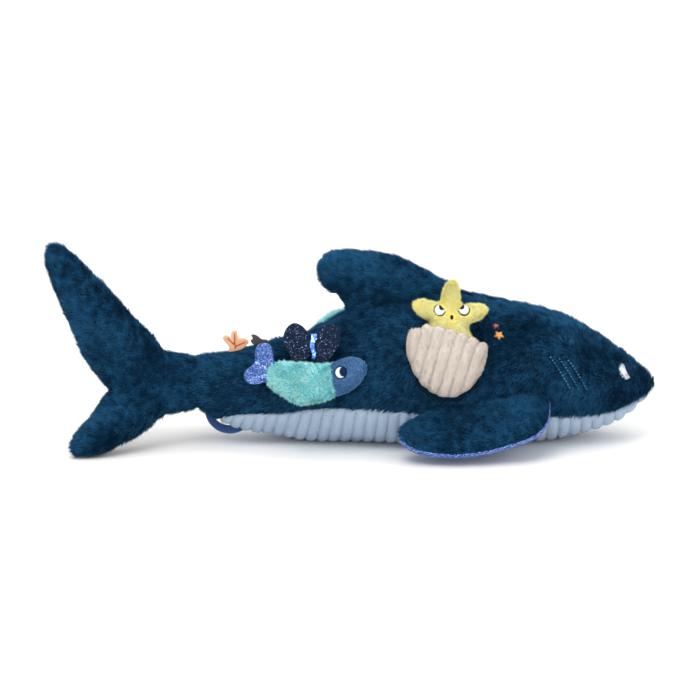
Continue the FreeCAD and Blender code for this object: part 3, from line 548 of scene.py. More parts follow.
def foilMaterial(name):
    material, tree, shader = startMaterial(name, 0.2, 0.0, specular=0.6)
    place = node(tree, "ShaderNodeTexCoord")
    waves = node(tree, "ShaderNodeTexNoise")
    waves.inputs["Scale"].default_value = 160
    waves.inputs["Distortion"].default_value = 1.5
    tree.links.new(place.outputs["Object"], waves.inputs["Vector"])
    ramp = node(tree, "ShaderNodeValToRGB")
    ramp.color_ramp.elements[0].color = (0.03, 0.09, 0.55, 1)
    ramp.color_ramp.elements[1].color = (0.55, 0.75, 1.0, 1)
    middle = ramp.color_ramp.elements.new(0.52)
    middle.color = (0.15, 0.35, 0.9, 1)
    ramp.color_ramp.elements[0].position = 0.38
    ramp.color_ramp.elements[2].position = 0.66
    tree.links.new(waves.outputs["Fac"], ramp.inputs["Fac"])
    tree.links.new(ramp.outputs["Color"], shader.inputs["Base Color"])
    shader.inputs["Metallic"].default_value = 0.8
    relief(tree, shader, waves.outputs["Fac"], 0.5 * mm)
    return material


# root is painted shade at the foot of the tufts; body and tip are shaded and lit copies of the pile colour
navyLook = {"root": (0.0004, 0.005, 0.012), "body": (0.0010, 0.024, 0.062),
            "tip": (0.018, 0.115, 0.25), "patch": 32.0, "sheen": 0.15, "bloom": (0.12, 0.42, 0.85)}
tealLook = {"root": (0.10, 0.46, 0.50), "body": (0.24, 0.80, 0.84), "tip": (0.60, 0.98, 0.97), "patch": 90.0}
yellowLook = {"root": (0.92, 0.77, 0.16), "body": (1.0, 0.92, 0.28), "tip": (1.0, 0.98, 0.55), "patch": 70.0}
blueLook = {"root": (0.02, 0.065, 0.18), "body": (0.07, 0.18, 0.40), "tip": (0.18, 0.38, 0.68), "patch": 90.0}
bellyLook = {"root": (0.28, 0.37, 0.50), "body": (0.40, 0.50, 0.63), "tip": (0.58, 0.68, 0.80), "patch": 80.0}
creamLook = {"root": (0.45, 0.38, 0.32), "body": (0.66, 0.59, 0.53), "tip": (0.80, 0.74, 0.68), "patch": 80.0}

looks = {
    "navyPile": pileMaterial("navyPile", navyLook),
    "tealPile": pileMaterial("tealPile", tealLook),
    "yellowPile": pileMaterial("yellowPile", yellowLook),
    "bluePile": pileMaterial("bluePile", blueLook),
    "creamPile": pileMaterial("creamPile", creamLook),
    "bellyPile": pileMaterial("bellyPile", bellyLook),
    "navyBacking": clothMaterial("navyBacking", (0.0012, 0.019, 0.047), (0.0005, 0.006, 0.014), 600, 0.9),
    "tealBacking": clothMaterial("tealBacking", (0.16, 0.66, 0.70), (0.08, 0.42, 0.46), 600, 0.9),
    "yellowBacking": clothMaterial("yellowBacking", (0.95, 0.80, 0.22), (0.80, 0.60, 0.12), 600, 0.9),
    "blueBacking": clothMaterial("blueBacking", (0.05, 0.13, 0.27), (0.015, 0.05, 0.13), 600, 0.9),
    "bellyCord": clothMaterial("bellyCord", (0.42, 0.52, 0.65), (0.27, 0.36, 0.48), 1100, 0.55, 0.4 * mm, 0.5),
    "creamCord": clothMaterial("creamCord", (0.74, 0.67, 0.60), (0.50, 0.43, 0.37), 1100, 0.5, 0.4 * mm, 0.5),
    "orangeFelt": clothMaterial("orangeFelt", (0.93, 0.54, 0.34), (0.70, 0.33, 0.17), 1300, 0.5, 0.2 * mm),
    "greySuede": clothMaterial("greySuede", (0.115, 0.10, 0.105), (0.05, 0.043, 0.045), 1500, 0.7, 0.15 * mm),
    "whiteThread": stitchMaterial("whiteThread", (0.86, 0.88, 0.90), (0.3, 0, 1)),
    "darkThread": stitchMaterial("darkThread", (0.001, 0.018, 0.060), (0.3, 0, 1), gloss=0.1),
    "paleThread": stitchMaterial("paleThread", (0.10, 0.36, 0.62), (0.5, 0, 1)),
    "redThread": stitchMaterial("redThread", (0.80, 0.16, 0.14), (1, 0, 0.6)),
    "orangeThread": stitchMaterial("orangeThread", (0.95, 0.45, 0.09), (1, 0, 0.4)),
    "veinThread": stitchMaterial("veinThread", (0.66, 0.13, 0.045), (0.2, 0, 1)),
    "ribbonSatin": stitchMaterial("ribbonSatin", (0.06, 0.15, 0.40), (0, 1, 0), 0.5 * mm),
    "glitterCloth": glitterMaterial("glitterCloth", (0.025, 0.08, 0.34), (0.45, 0.60, 0.95), 0.28, 1900.0),
    "fishGlitter": glitterMaterial("fishGlitter", (0.03, 0.08, 0.30), (0.40, 0.52, 0.90), 0.25, 1900.0),
    "net": netMaterial("net"),
    "foil": foilMaterial("foil"),
}
print("materials made", len(looks))


def finishPiece(piece, look, body, nodes=()):
    piece.data.materials.clear()
    piece.data.materials.append(looks[look])
    smooth(piece)
    if nodes:
        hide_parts(*nodes)
    if body:
        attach(piece, body)


# the frame's own measures

def boxOf(*nodes):
    corners = [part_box(name) for name in nodes]
    low = Vector([min(pair[0][axis] for pair in corners) for axis in range(3)])
    high = Vector([max(pair[1][axis] for pair in corners) for axis in range(3)])
    return low, high


def jointOf(name):
    return next(joint for joint in frame["record"]["behaviour"]["joints"] if joint["name"] == name)


def seamLine():
    # height of the seam between back and belly, along X
    places = coords(frame["nodes"]["belly_panel"])
    edges = np.linspace(places[:, 0].min(), places[:, 0].max(), 30)
    middles, heights = [], []
    for low, high in zip(edges, edges[1:]):
        inside = (places[:, 0] >= low) & (places[:, 0] <= high)
        if inside.any():
            middles.append((low + high) / 2)
            heights.append(places[inside, 2].max())
    along = [edges[0] - 0.001] + middles + [edges[-1] + 0.004]
    return np.array(along), np.array([0.015] + heights + [heights[-1]])


seamX, seamZ = seamLine()


def aboveSeam(places):
    # signed height over the seam
    return places[:, 2] - np.interp(places[:, 0], seamX, seamZ, left=-1.0)


# the body

body = {
    "voxel": 4.0 * mm,
    "cover": 2.8 * mm,
    "lumps": 1.6 * mm,
    "finFold": ((0.105, 0.058), (0.137, 0.067), (0.180, 0.058)),
    "cheekFold": ((0.120, 0.050), (0.150, 0.057), (0.186, 0.046)),
    "coat": {"count": 200000, "length": 5.2 * mm, "width": 0.95 * mm, "lean": 33, "nap": (-0.9, 0, -0.55),
             "swirl": 0.045, "clump": 0.009, "stray": 0.95, "seed": 3},
}
backNodes = ("body_panel_right", "body_panel_left")


def crease(places, line, depth, width):
    # how far the skin is drawn in beside a line of (x, z) points
    near = np.full(len(places), 1.0)
    for start, end in zip(line, line[1:]):
        start, end = np.array(start), np.array(end)
        run = end - start
        share = np.clip((places[:, [0, 2]] - start) @ run / (run @ run), 0, 1)
        reach = np.linalg.norm(places[:, [0, 2]] - start - share[:, None] * run, axis=1)
        near = np.minimum(near, reach)
    return -depth * np.exp(-(near / width) ** 2)


def makeBodySkin():
    skin = copyOf("bodySkin", ["body_filling"])
    remesh(skin, body["voxel"])
    relax(skin, 4)
    pushOut(skin, body["cover"])
    puff(skin, steps=10, pressure=3.0, cap=1.5 * mm)
    places = coords(skin)
    lumps = noiseAt(places, 0.05, 4) * body["lumps"] + noiseAt(places, 0.018, 6) * 0.35 * mm
    lumps[places[:, 2] < 0.006] = 0
    lumps += crease(places, body["finFold"], 2.6 * mm, 4 * mm)
    lumps += crease(places, body["cheekFold"], 1.8 * mm, 4 * mm)
    pushOut(skin, lumps)
    places = coords(skin)
    spine = np.abs(places[:, 1] - spineY(places[:, 0]))
    top = places[:, 2] > np.interp(places[:, 0], seamX, seamZ) + 0.02
    groove = np.where(top, np.exp(-(spine / 0.003) ** 2) * 1.0 * mm, 0)
    pushOut(skin, -groove)
    places = coords(skin)
    places[:, 2] = np.maximum(places[:, 2], 0.7 * mm)
    setCoords(skin, places)
    return skin


def spineY(x):
    # the middle of the back bends to the right towards the tail
    hinge = jointOf("tail_sway")["pos_m"]
    return hinge[1] * (np.minimum(x, 0) / hinge[0]) ** 2


bodySkin = makeBodySkin()
bodyTree = treeOf(bodySkin)
print("body skin", len(bodySkin.data.polygons))


belly = {"pitch": 10.35 * mm, "height": 3.0 * mm, "slant": -0.32, "proud": 0.5 * mm}


def makeBelly():
    # the ribbed panel: the skin below the seam, raised into rounded ribs across the belly
    panel = bodySkin.copy()
    panel.data = bodySkin.data.copy()
    panel.name = "bellyCover"
    bpy.context.collection.objects.link(panel)
    subdivide(panel, 2)
    places = coords(panel)
    above = aboveSeam(places)
    above[places[:, 0] < seamX[0]] = 1
    mesh = bmesh.new()
    mesh.from_mesh(panel.data)
    mesh.verts.ensure_lookup_table()
    doomed = [vertex for vertex in mesh.verts if above[vertex.index] > 0.8 * mm]
    bmesh.ops.delete(mesh, geom=doomed, context="VERTS")
    mesh.to_mesh(panel.data)
    mesh.free()
    places = coords(panel)
    above = aboveSeam(places)
    slant = belly["slant"] * np.clip((0.10 - places[:, 0]) / 0.20, 0, 1)
    rib = (places[:, 0] + slant * places[:, 2]) / belly["pitch"] + 0.10 * noiseAt(places, 0.05, 2)
    hump = np.abs(np.sin(math.pi * rib)) ** 0.45
    fade = np.clip(-above / (3 * mm), 0, 1)
    flat = np.clip(places[:, 2] / (2.5 * mm), 0, 1)
    rise = belly["proud"] * fade + belly["height"] * (hump - 0.35) * fade * (0.25 + 0.75 * flat)
    pushOut(panel, rise - 0.5 * mm * (1 - fade))
    places = coords(panel)
    places[:, 2] = np.maximum(places[:, 2], 0.1 * mm)
    setCoords(panel, places)
    return panel


bellyCover = makeBelly()
finishPiece(bellyCover, "bellyCord", "shark", ["belly_panel"])
bellyCoat = {"count": 34000, "length": 1.3 * mm, "width": 0.5 * mm, "lean": 52, "nap": (0, 0, 1),
             "swirl": 0.01, "clump": 0.004, "stray": 1.5, "seed": 5}
for piece in plant("bellyFuzz", bellyCover, bellyCoat, lambda places: places[:, 2] > 2.5 * mm):
    finishPiece(piece, "bellyPile", "shark", ())
print("belly", len(bellyCover.data.polygons))


# stitched decoration

def skinFrame(centre, tree, forward=Vector((1, 0, 0))):
    # origin on the skin nearest to the centre, with axes forward, up along the skin, and out of it
    place, normal, index, reach = tree.find_nearest(centre)
    across = (forward - normal * forward.dot(normal)).normalized()
    up = normal.cross(across)
    turn = Matrix((across, up, normal)).transposed().to_4x4()
    return Matrix.Translation(place) @ turn


def ringOutline(radiusX, radiusY, count=40, centre=(0, 0)):
    angles = [math.tau * step / count for step in range(count)]
    return [(centre[0] + radiusX * math.cos(angle), centre[1] + radiusY * math.sin(angle)) for angle in angles]


def starOutline(radius, waist=0.52, turn=0.0, count=60):
    outline = []
    for step in range(count):
        angle = math.tau * step / count
        saw = abs(((5 * angle / math.tau) % 1) * 2 - 1)
        reach = radius * (waist + (1 - waist) * saw ** 1.3)
        outline.append((reach * math.cos(angle + turn), reach * math.sin(angle + turn)))
    return outline


domeRings = (0.0, 0.3, 0.6, 0.82, 0.94, 1.0)


def patch(name, place, outline, tree, height, look, rings=domeRings, sink=0.6 * mm, reach=0.02):
    # a domed pad of stitches that follows the skin
    middle = np.mean(outline, axis=0)
    out = place.to_3x3() @ Vector((0, 0, 1))
    rows = []
    for share in rings:
        row = []
        for spot in outline:
            flat = middle + (np.array(spot) - middle) * share
            start = place @ Vector((flat[0], flat[1], reach))
            hit, normal = tree.ray_cast(start, -out, reach * 3)[:2]
            if hit is None:
                hit, normal = tree.find_nearest(place @ Vector((flat[0], flat[1], 0)))[:2]
            lift = height * (1 - share ** 5) - sink * share ** 12
            row.append(hit + normal * lift)
            if share == 0.0:
                break
        rows.append(row)
    verts = [spot for row in rows for spot in row]
    count = len(outline)
    faces = []
    for step in range(count):
        faces.append((0, 1 + step, 1 + (step + 1) % count))
    for ring in range(1, len(rings) - 1):
        base = 1 + (ring - 1) * count
        for step in range(count):
            after = (step + 1) % count
            faces.append((base + step, base + count + step, base + count + after, base + after))
    mesh = bpy.data.meshes.new(name)
    mesh.from_pydata(verts, [], faces)
    mesh.update()
    piece = bpy.data.objects.new(name, mesh)
    bpy.context.collection.objects.link(piece)
    piece.data.materials.append(looks[look])
    smooth(piece)
    return piece


def joined(name, pieces):
    deselect()
    for piece in pieces:
        piece.select_set(True)
    bpy.context.view_layer.objects.active = pieces[0]
    if len(pieces) > 1:
        bpy.ops.object.join()
    pieces[0].name = name
    return pieces[0]


def turned(spots, degrees, shift=(0, 0)):
    angle = math.radians(degrees)
    cosine, sine = math.cos(angle), math.sin(angle)
    return [(x * cosine - y * sine + shift[0], x * sine + y * cosine + shift[1]) for x, y in spots]


def makeEye(word):
    # a leaning white crescent behind a dark pupil
    low, high = boxOf(f"eye_white_{word}")
    radius = (high.z - low.z) / 2
    centre = Vector((low.x + radius, (low.y + high.y) / 2, (low.z + high.z) / 2))
    place = skinFrame(centre, bodyTree)
    side = 1 if word == "right" else -1
    rim = turned(ringOutline(radius * 1.05, radius * 1.22), 24 * side)
    white = patch(f"eyeWhite{word.title()}", place, rim, bodyTree, 1.6 * mm, "whiteThread")
    inner = turned(ringOutline(radius * 0.78, radius * 1.22), 24 * side, (radius * 0.50, radius * 0.36 * side))
    pupil = patch(f"eyePupil{word.title()}", place, inner, bodyTree, 2.3 * mm, "darkThread")
    for piece, nodeName, slot in ((white, f"eye_white_{word}", "white_thread"),
                                  (pupil, f"eye_pupil_{word}", "dark_thread")):
        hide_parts(nodeName)
        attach(piece, "shark")
        decor.append(piece)


def islands(name):
    # boxes of the separate solids in a CAD node, from front to back
    source = copyOf("probe", [name])
    bpy.ops.object.mode_set(mode="EDIT")
    bpy.ops.mesh.separate(type="LOOSE")
    bpy.ops.object.mode_set(mode="OBJECT")
    parts = list(bpy.context.selected_objects)
    boxes = []
    for part in parts:
        places = coords(part)
        boxes.append((Vector(places.min(axis=0)), Vector(places.max(axis=0))))
        bpy.data.objects.remove(part, do_unlink=True)
    return sorted(boxes, key=lambda pair: -pair[1].x)


gill = {"dashes": 11, "width": 1.1 * mm, "share": 0.74}


def makeGills(word):
    # three rows of short stitches
    dashes = []
    for low, high in islands(f"gill_stitches_{word}"):
        place = skinFrame((low + high) / 2, bodyTree)
        local = place.to_3x3().inverted() @ Vector((low.x - high.x, 0, high.z - low.z))
        lean = math.degrees(math.atan2(local.y, local.x))
        step = math.hypot(low.x - high.x, high.z - low.z) / gill["dashes"]
        oval = ringOutline(step * gill["share"] / 2, gill["width"] / 2, 12)
        for number in range(gill["dashes"]):
            spot = turned([((number + 0.5 - gill["dashes"] / 2) * step, 0)], lean)[0]
            dashes.append(patch("dash", place, turned(oval, lean, spot), bodyTree, 1.9 * mm, "paleThread",
                                rings=(0.0, 0.6, 1.0)))
    piece = joined(f"gillStitches{word.title()}", dashes)
    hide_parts(f"gill_stitches_{word}")
    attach(piece, "shark")
    decor.append(piece)


decor = []
for word in ("right", "left"):
    makeEye(word)
    makeGills(word)


def makeSmallStar(name, nodeName, look, turn):
    low, high = boxOf(nodeName)
    radius = (high.x - low.x) / 2 * 1.02
    place = skinFrame((low + high) / 2, bodyTree)
    piece = patch(name, place, starOutline(radius, 0.5, math.radians(turn)), bodyTree, 1.6 * mm, look)
    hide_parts(nodeName)
    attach(piece, "shark")
    decor.append(piece)


makeSmallStar("smallStarRed", "small_star_red", "redThread", 100)
makeSmallStar("smallStarOrange", "small_star_orange", "orangeThread", 270)
print("stitches made")


# fur on the back

slideAxis = Vector(jointOf("star_pull")["axis"]).normalized()
outAxis = Vector((1, 0, 0)).cross(slideAxis)
pocketTree = treeOf(frame["nodes"]["shell_pocket"])
decorTrees = [(treeOf(piece), 0.7 * mm) for piece in decor] + [(treeOf(frame["nodes"]["teal_patch"]), 2.0 * mm)]


def onBack(places):
    above = aboveSeam(places)
    above[places[:, 0] < seamX[0]] = 1
    wanted = above > -0.4 * mm
    low, high = boxOf("shell_pocket")
    for number in np.nonzero(wanted)[0]:
        spot = Vector(places[number])
        if any(tree.find_nearest(spot, reach)[0] is not None for tree, reach in decorTrees):
            wanted[number] = False
        elif low.x < spot.x < high.x and spot.y < 0 and low.z < spot.z < high.z:
            if pocketTree.ray_cast(spot, outAxis, 0.04)[0] is not None:
                wanted[number] = False
    return wanted


finishPiece(bodySkin, "navyBacking", "shark", backNodes + ("body_filling",))
for piece in plant("backFur", bodySkin, body["coat"], onBack):
    finishPiece(piece, "navyPile", "shark", ())
print("back fur made")


# stuffed parts, their roots drawn into the body at their seams

def stuffed(name, nodes, voxel, cover, cap, lumps, seed):
    # a stuffed cover over CAD fillings: even mesh, pushed out to the cover, puffed and softly uneven
    skin = copyOf(name, nodes)
    remesh(skin, voxel)
    relax(skin, 4)
    pushOut(skin, cover)
    puff(skin, steps=10, pressure=3.0, cap=cap)
    places = coords(skin)
    pushOut(skin, noiseAt(places, 0.03, seed) * lumps + noiseAt(places, 0.012, seed + 2) * lumps * 0.3)
    return skin


def reachBack(skin, hinge, out, depth, length):
    # the part's root is drawn into the body, so that no gap shows at the seam
    places = coords(skin)
    above = (places - np.array(hinge)) @ np.array(out)
    share = np.clip((depth - above) / depth, 0, 1)
    share = share * share * (3 - 2 * share)
    setCoords(skin, places - np.array(out) * share[:, None] * length)


def bendWith(piece, child, hinge, out, start, end):
    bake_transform(piece)


def napOver(skin, coat, name, bend, keep=None, look="navyPile"):
    for piece in plant(name, skin, coat, keep):
        finishPiece(piece, look, None, ())
        bendWith(piece, *bend)


tailCoat = {"count": 72000, "length": 5.0 * mm, "width": 0.95 * mm, "lean": 32, "nap": (-0.9, -0.2, 0.15),
            "swirl": 0.04, "clump": 0.009, "stray": 0.8, "seed": 11}
tailHinge = jointOf("tail_sway")["pos_m"]
tailBend = ("tail", tailHinge, (-1, 0, 0), -8 * mm, 17 * mm)
tailSkin = stuffed("tailSkin", ["tail_filling"], 3.0 * mm, 2.8 * mm, 1.5 * mm, 1.0 * mm, 21)
places = coords(tailSkin)
wrinkle = np.exp(-((places[:, 0] - tailHinge[0] + 10 * mm) / (14 * mm)) ** 2)
tailFold = ((-0.222, 0.056), (-0.195, 0.053), (-0.160, 0.044))
wrinkle *= noiseAt(places * [1.0, 1.0, 0.35], 0.007, 40) * 2.2 * mm
pushOut(tailSkin, wrinkle + crease(places, tailFold, 3.2 * mm, 4 * mm))
reachBack(tailSkin, tailHinge, (-1, 0, 0), 12 * mm, 8 * mm)
finishPiece(tailSkin, "navyBacking", None, ("tail_panel_right", "tail_panel_left", "tail_filling"))
napOver(tailSkin, tailCoat, "tailFur", tailBend)
bendWith(tailSkin, *tailBend)
print("tail made")

dorsalCoat = {"count": 33000, "length": 4.8 * mm, "width": 0.95 * mm, "lean": 33, "nap": (-0.8, 0, 0.5),
              "swirl": 0.04, "clump": 0.009, "stray": 0.8, "seed": 12}
dorsalHinge = jointOf("dorsal_flop")["pos_m"]
dorsalUp = (-0.185, 0, 0.983)
dorsalBend = ("dorsal_fin", dorsalHinge, dorsalUp, -1 * mm, 15 * mm)
dorsalSkin = stuffed("dorsalSkin", ["dorsal_filling"], 2.5 * mm, 2.8 * mm, 1.5 * mm, 0.9 * mm, 22)
dorsalFold = ((-0.040, 0.118), (-0.015, 0.132), (0.012, 0.140))
pushOut(dorsalSkin, crease(coords(dorsalSkin), dorsalFold, 2.5 * mm, 4 * mm))
reachBack(dorsalSkin, dorsalHinge, dorsalUp, 12 * mm, 11 * mm)
dorsalNodes = ("dorsal_panel_right", "dorsal_panel_left", "dorsal_filling")
finishPiece(dorsalSkin, "navyBacking", None, dorsalNodes)
napOver(dorsalSkin, dorsalCoat, "dorsalFur", dorsalBend)
bendWith(dorsalSkin, *dorsalBend)
print("dorsal fin made")


def makeFin(word, side, seed):
    # navy pile on top, glitter cloth underneath, in two covers sewn along the edge
    hinge = Vector(jointOf(f"fin_{word}_flap")["pos_m"])
    out = Vector((0, 0.743 * side, -0.669))
    up = Vector((0, 0.669 * side, 0.743))
    bend = (f"fin_{word}", hinge, out, 0, 16 * mm)
    nodes = [f"fin_{word}_filling"]
    under = stuffed(f"finUnder{word.title()}", nodes, 2.2 * mm, 2.2 * mm, 1.2 * mm, 0.7 * mm, seed)
    reachBack(under, hinge, out, 12 * mm, 9 * mm)
    top = under.copy()
    top.data = under.data.copy()
    top.name = f"finTop{word.title()}"
    bpy.context.collection.objects.link(top)
    places = coords(under)
    seam = float(np.median(places @ np.array(up))) + 2.5 * mm
    mesh = bmesh.new()
    mesh.from_mesh(top.data)
    bmesh.ops.bisect_plane(mesh, geom=mesh.verts[:] + mesh.edges[:] + mesh.faces[:], plane_co=up * seam,
                           plane_no=up, clear_inner=True)
    mesh.to_mesh(top.data)
    mesh.free()
    rise = coords(top) @ np.array(up) - seam
    pushOut(top, 0.9 * mm * np.clip(rise / (2 * mm), 0, 1) - 0.2 * mm)
    coat = {"count": 15000, "length": 4.4 * mm, "width": 0.95 * mm, "lean": 32, "nap": (-1, 0.1 * side, 0.2),
            "swirl": 0.04, "clump": 0.009, "stray": 0.8, "seed": seed}
    finishPiece(under, "glitterCloth", None, (f"fin_{word}_underside", f"fin_{word}_filling"))
    finishPiece(top, "navyBacking", None, (f"fin_{word}_top",))
    napOver(top, coat, f"finFur{word.title()}", bend, lambda places: places @ np.array(up) > seam + 0.8 * mm)
    bendWith(under, *bend)
    bendWith(top, *bend)


makeFin("right", -1, 31)
makeFin("left", 1, 32)
print("fins made")


# the pocket

pocket = {"pitch": 10.5 * mm, "height": 2.6 * mm, "slant": -0.30, "scallop": 3.2 * mm, "tilt": 0.32}


def makePocket():
    low, high = boxOf("shell_pocket")
    middle = Vector(((low.x + high.x) / 2, (low.y + high.y) / 2, (low.z + high.z) / 2))
    piece = copyOf("shellPocket", ["shell_pocket"])
    remesh(piece, 1.2 * mm)
    relax(piece, 3)
    places = coords(piece)
    aims = normals(piece)
    along = (places - np.array(middle)) @ np.array(slideAxis)
    across = places[:, 0] - middle.x
    top = along.max()
    rib = (across + pocket["slant"] * along) / pocket["pitch"] + 0.12 * noiseAt(places, 0.04, 8)
    hump = np.abs(np.sin(math.pi * rib)) ** 0.55
    outer = np.clip(aims @ np.array(outAxis) + 0.45, 0, 1)
    pushOut(piece, outer * pocket["height"] * (hump - 0.75))
    places = coords(piece)
    rim = np.clip((along - top + 16 * mm) / (16 * mm), 0, 1)
    lip = np.sin(across / (1.6 * pocket["pitch"]) + 0.9) * 1.4 * mm - across * pocket["tilt"]
    places += np.array(slideAxis) * (rim * (pocket["scallop"] * (hump - 0.5) + lip))[:, None]
    places += np.array(outAxis) * (rim * lip * 0.2)[:, None]
    lift = 0.08 * np.clip(top - along, 0, None)
    places += np.array(slideAxis) * lift[:, None]
    setCoords(piece, places)
    pushOut(piece, noiseAt(places, 0.02, 9) * 0.4 * mm + noiseAt(places, 0.0022, 10) * 0.16 * mm)
    finishPiece(piece, "creamCord", "shark", ("shell_pocket",))
    coat = {"count": 26000, "length": 1.5 * mm, "width": 0.55 * mm, "lean": 55, "nap": (0, 0, 1),
            "swirl": 0.01, "clump": 0.004, "stray": 1.5, "seed": 13}
    for fuzz in plant("pocketFuzz", piece, coat):
        finishPiece(fuzz, "creamPile", "shark", ())


makePocket()
print("pocket made")


# the star

starCoat = {"count": 30000, "length": 3.0 * mm, "width": 0.6 * mm, "lean": 40, "nap": (0, 0, 0.35),
            "swirl": 0.02, "clump": 0.005, "stray": 0.9, "seed": 14}


starSkin = stuffed("starSkin", ["star_filling"], 1.8 * mm, 0.6 * mm, 0.8 * mm, 0.4 * mm, 23)
starTree = treeOf(starSkin)


def makeStarFace():
    # white eyes with dark rims, pupils high and towards the middle, a lid cut slanting, and a dot of a mouth
    made = []
    for low, high in islands("star_eye_whites"):
        centre = (low + high) / 2
        side = 1 if centre.x > boxOf("star_mouth")[0].x else -1
        radius = (high.x - low.x) / 2 * 1.12
        place = skinFrame(centre, starTree)

        def lid(spots, turn):
            # the top inner edge is pressed flat
            cut = []
            for x, y in spots:
                inward = -x * side * math.cos(turn) + y * math.sin(turn)
                if inward > radius * 0.62:
                    extra = inward - radius * 0.62
                    x += extra * side * math.cos(turn) * 0.9
                    y -= extra * math.sin(turn) * 0.9
                cut.append((x, y))
            return cut

        turn = math.radians(40)
        around = lid(ringOutline(radius * 1.13, radius * 1.08), turn)
        ball = lid(ringOutline(radius, radius * 0.96), turn)
        middle = (-0.3 * side * radius, 0.34 * radius)
        dot = lid(ringOutline(radius * 0.55, radius * 0.62, 40, middle), turn)
        rim = patch("rim", place, around, starTree, 1.3 * mm, "darkThread")
        white = patch("white", place, ball, starTree, 1.9 * mm, "whiteThread")
        pupil = patch("pupil", place, dot, starTree, 2.6 * mm, "darkThread")
        made.append((rim, white, pupil))
    low, high = boxOf("star_mouth")
    mouthPlace = skinFrame((low + high) / 2, starTree)
    mouth = patch("starMouth", mouthPlace, ringOutline(1.5 * mm, 2.2 * mm), starTree, 2.0 * mm, "darkThread")
    whites = joined("starEyeWhites", [parts[1] for parts in made])
    pupils = joined("starPupils", [parts[2] for parts in made] + [parts[0] for parts in made])
    for piece, nodeName, slot in ((whites, "star_eye_whites", "white_thread"),
                                  (pupils, "star_pupils", "dark_thread"), (mouth, "star_mouth", "dark_thread")):
        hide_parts(nodeName)
        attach(piece, "star")


makeStarFace()
faceTree = treeOf(copyOf("faceProbe", ["star_eye_whites", "star_mouth"]))
bpy.data.objects.remove(bpy.data.objects["faceProbe"], do_unlink=True)


def offFace(places):
    return np.array([faceTree.find_nearest(Vector(place), 2.3 * mm)[0] is None for place in places])


finishPiece(starSkin, "yellowBacking", "star", ("star_front", "star_back", "star_filling"))
for piece in plant("starFur", starSkin, starCoat, offFace):
    finishPiece(piece, "yellowPile", "star", ())
print("star made")


# the fish

fishSkin = stuffed("fishSkin", ["fish_filling"], 1.6 * mm, 1.8 * mm, 1.0 * mm, 0.5 * mm, 24)
fishAhead = -np.array(jointOf("fish_flap")["axis"])
fishOut = np.cross(fishAhead, (0, 0.342, 0.940))
headPlaces = coords(frame["nodes"]["fish_head"])
headEdge = float((headPlaces @ fishAhead).min())
headMiddle = float(headPlaces[:, 2].max() + headPlaces[:, 2].min()) / 2


def neckLine(places):
    # distance ahead of the neck seam, which slants a little
    return places @ fishAhead - headEdge - 0.14 * (headMiddle - places[:, 2])


def makeFishHead():
    head = fishSkin.copy()
    head.data = fishSkin.data.copy()
    head.name = "fishHead"
    bpy.context.collection.objects.link(head)
    ahead = neckLine(coords(head))
    mesh = bmesh.new()
    mesh.from_mesh(head.data)
    mesh.verts.ensure_lookup_table()
    doomed = [vertex for vertex in mesh.verts if ahead[vertex.index] < -1.0 * mm]
    bmesh.ops.delete(mesh, geom=doomed, context="VERTS")
    mesh.to_mesh(head.data)
    mesh.free()
    ahead = neckLine(coords(head))
    pushOut(head, 0.9 * mm * np.clip(ahead / (1.5 * mm), 0, 1) - 0.3 * mm)
    return head


fishHead = makeFishHead()
headTree = treeOf(fishHead)
fishCoat = {"count": 15000, "length": 3.4 * mm, "width": 0.8 * mm, "lean": 48, "nap": (-0.3, 0, -0.3),
            "swirl": 0.01, "clump": 0.004, "stray": 2.0, "seed": 15}
headCoat = {"count": 9000, "length": 1.5 * mm, "width": 0.5 * mm, "lean": 48, "nap": (-1, 0, -0.1),
            "swirl": 0.03, "clump": 0.006, "stray": 0.6, "seed": 16}


def makeFishEye():
    low, high = boxOf("fish_eye_white")
    radius = (high.z - low.z) / 2 * 1.12
    place = skinFrame(Vector((low.x + radius * 0.9, (low.y + high.y) / 2, (low.z + high.z) / 2)), headTree)
    rim = patch("fishEyeRim", place, ringOutline(radius * 1.12, radius * 1.1), headTree, 0.8 * mm, "darkThread")
    white = patch("fishEyeWhite", place, ringOutline(radius, radius), headTree, 1.2 * mm, "whiteThread")
    inner = ringOutline(radius * 0.72, radius * 0.9, 40, (radius * 0.36, radius * 0.12))
    pupil = patch("fishEyePupil", place, inner, headTree, 1.8 * mm, "darkThread")
    dark = joined("fishEyePupil", [pupil, rim])
    for piece, nodeName, slot in ((white, "fish_eye_white", "white_thread"),
                                  (dark, "fish_eye_pupil", "dark_thread")):
        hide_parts(nodeName)
        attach(piece, "fish")
    return treeOf(white)


eyeTree = makeFishEye()
finishPiece(fishSkin, "tealBacking", "fish", ("fish_body_front", "fish_body_back", "fish_filling"))
finishPiece(fishHead, "blueBacking", "fish", ("fish_head",))
for piece in plant("fishFur", fishSkin, fishCoat, lambda places: neckLine(places) < -0.5 * mm):
    finishPiece(piece, "tealPile", "fish", ())
for piece in plant("fishHeadFur", fishHead, headCoat, lambda places: np.array(
        [eyeTree.find_nearest(Vector(place), 1.3 * mm)[0] is None for place in places])):
    finishPiece(piece, "bluePile", "fish", ())


def makeFishTail():
    piece = copyOf("fishTail", ["fish_tail"])
    remesh(piece, 0.8 * mm)
    relax(piece, 6)
    places = coords(piece)
    low, high = boxOf("fish_filling")
    root = np.array([boxOf("fish_tail")[1].x, 0, low.z * 0.35 + high.z * 0.65])
    angle = np.arctan2(places[:, 2] - root[2], places[:, 0] - root[0])
    pushOut(piece, 0.5 * mm)
    places = coords(piece)
    pleat = np.sin(angle * 9) * 0.5 * mm + noiseAt(places, 0.008, 12) * 0.6 * mm
    places += np.outer(pleat, fishOut)
    setCoords(piece, places)
    finishPiece(piece, "fishGlitter", "fish", ("fish_tail",))


makeFishTail()
print("fish made")


# wings, foil, felt tabs and ribbon

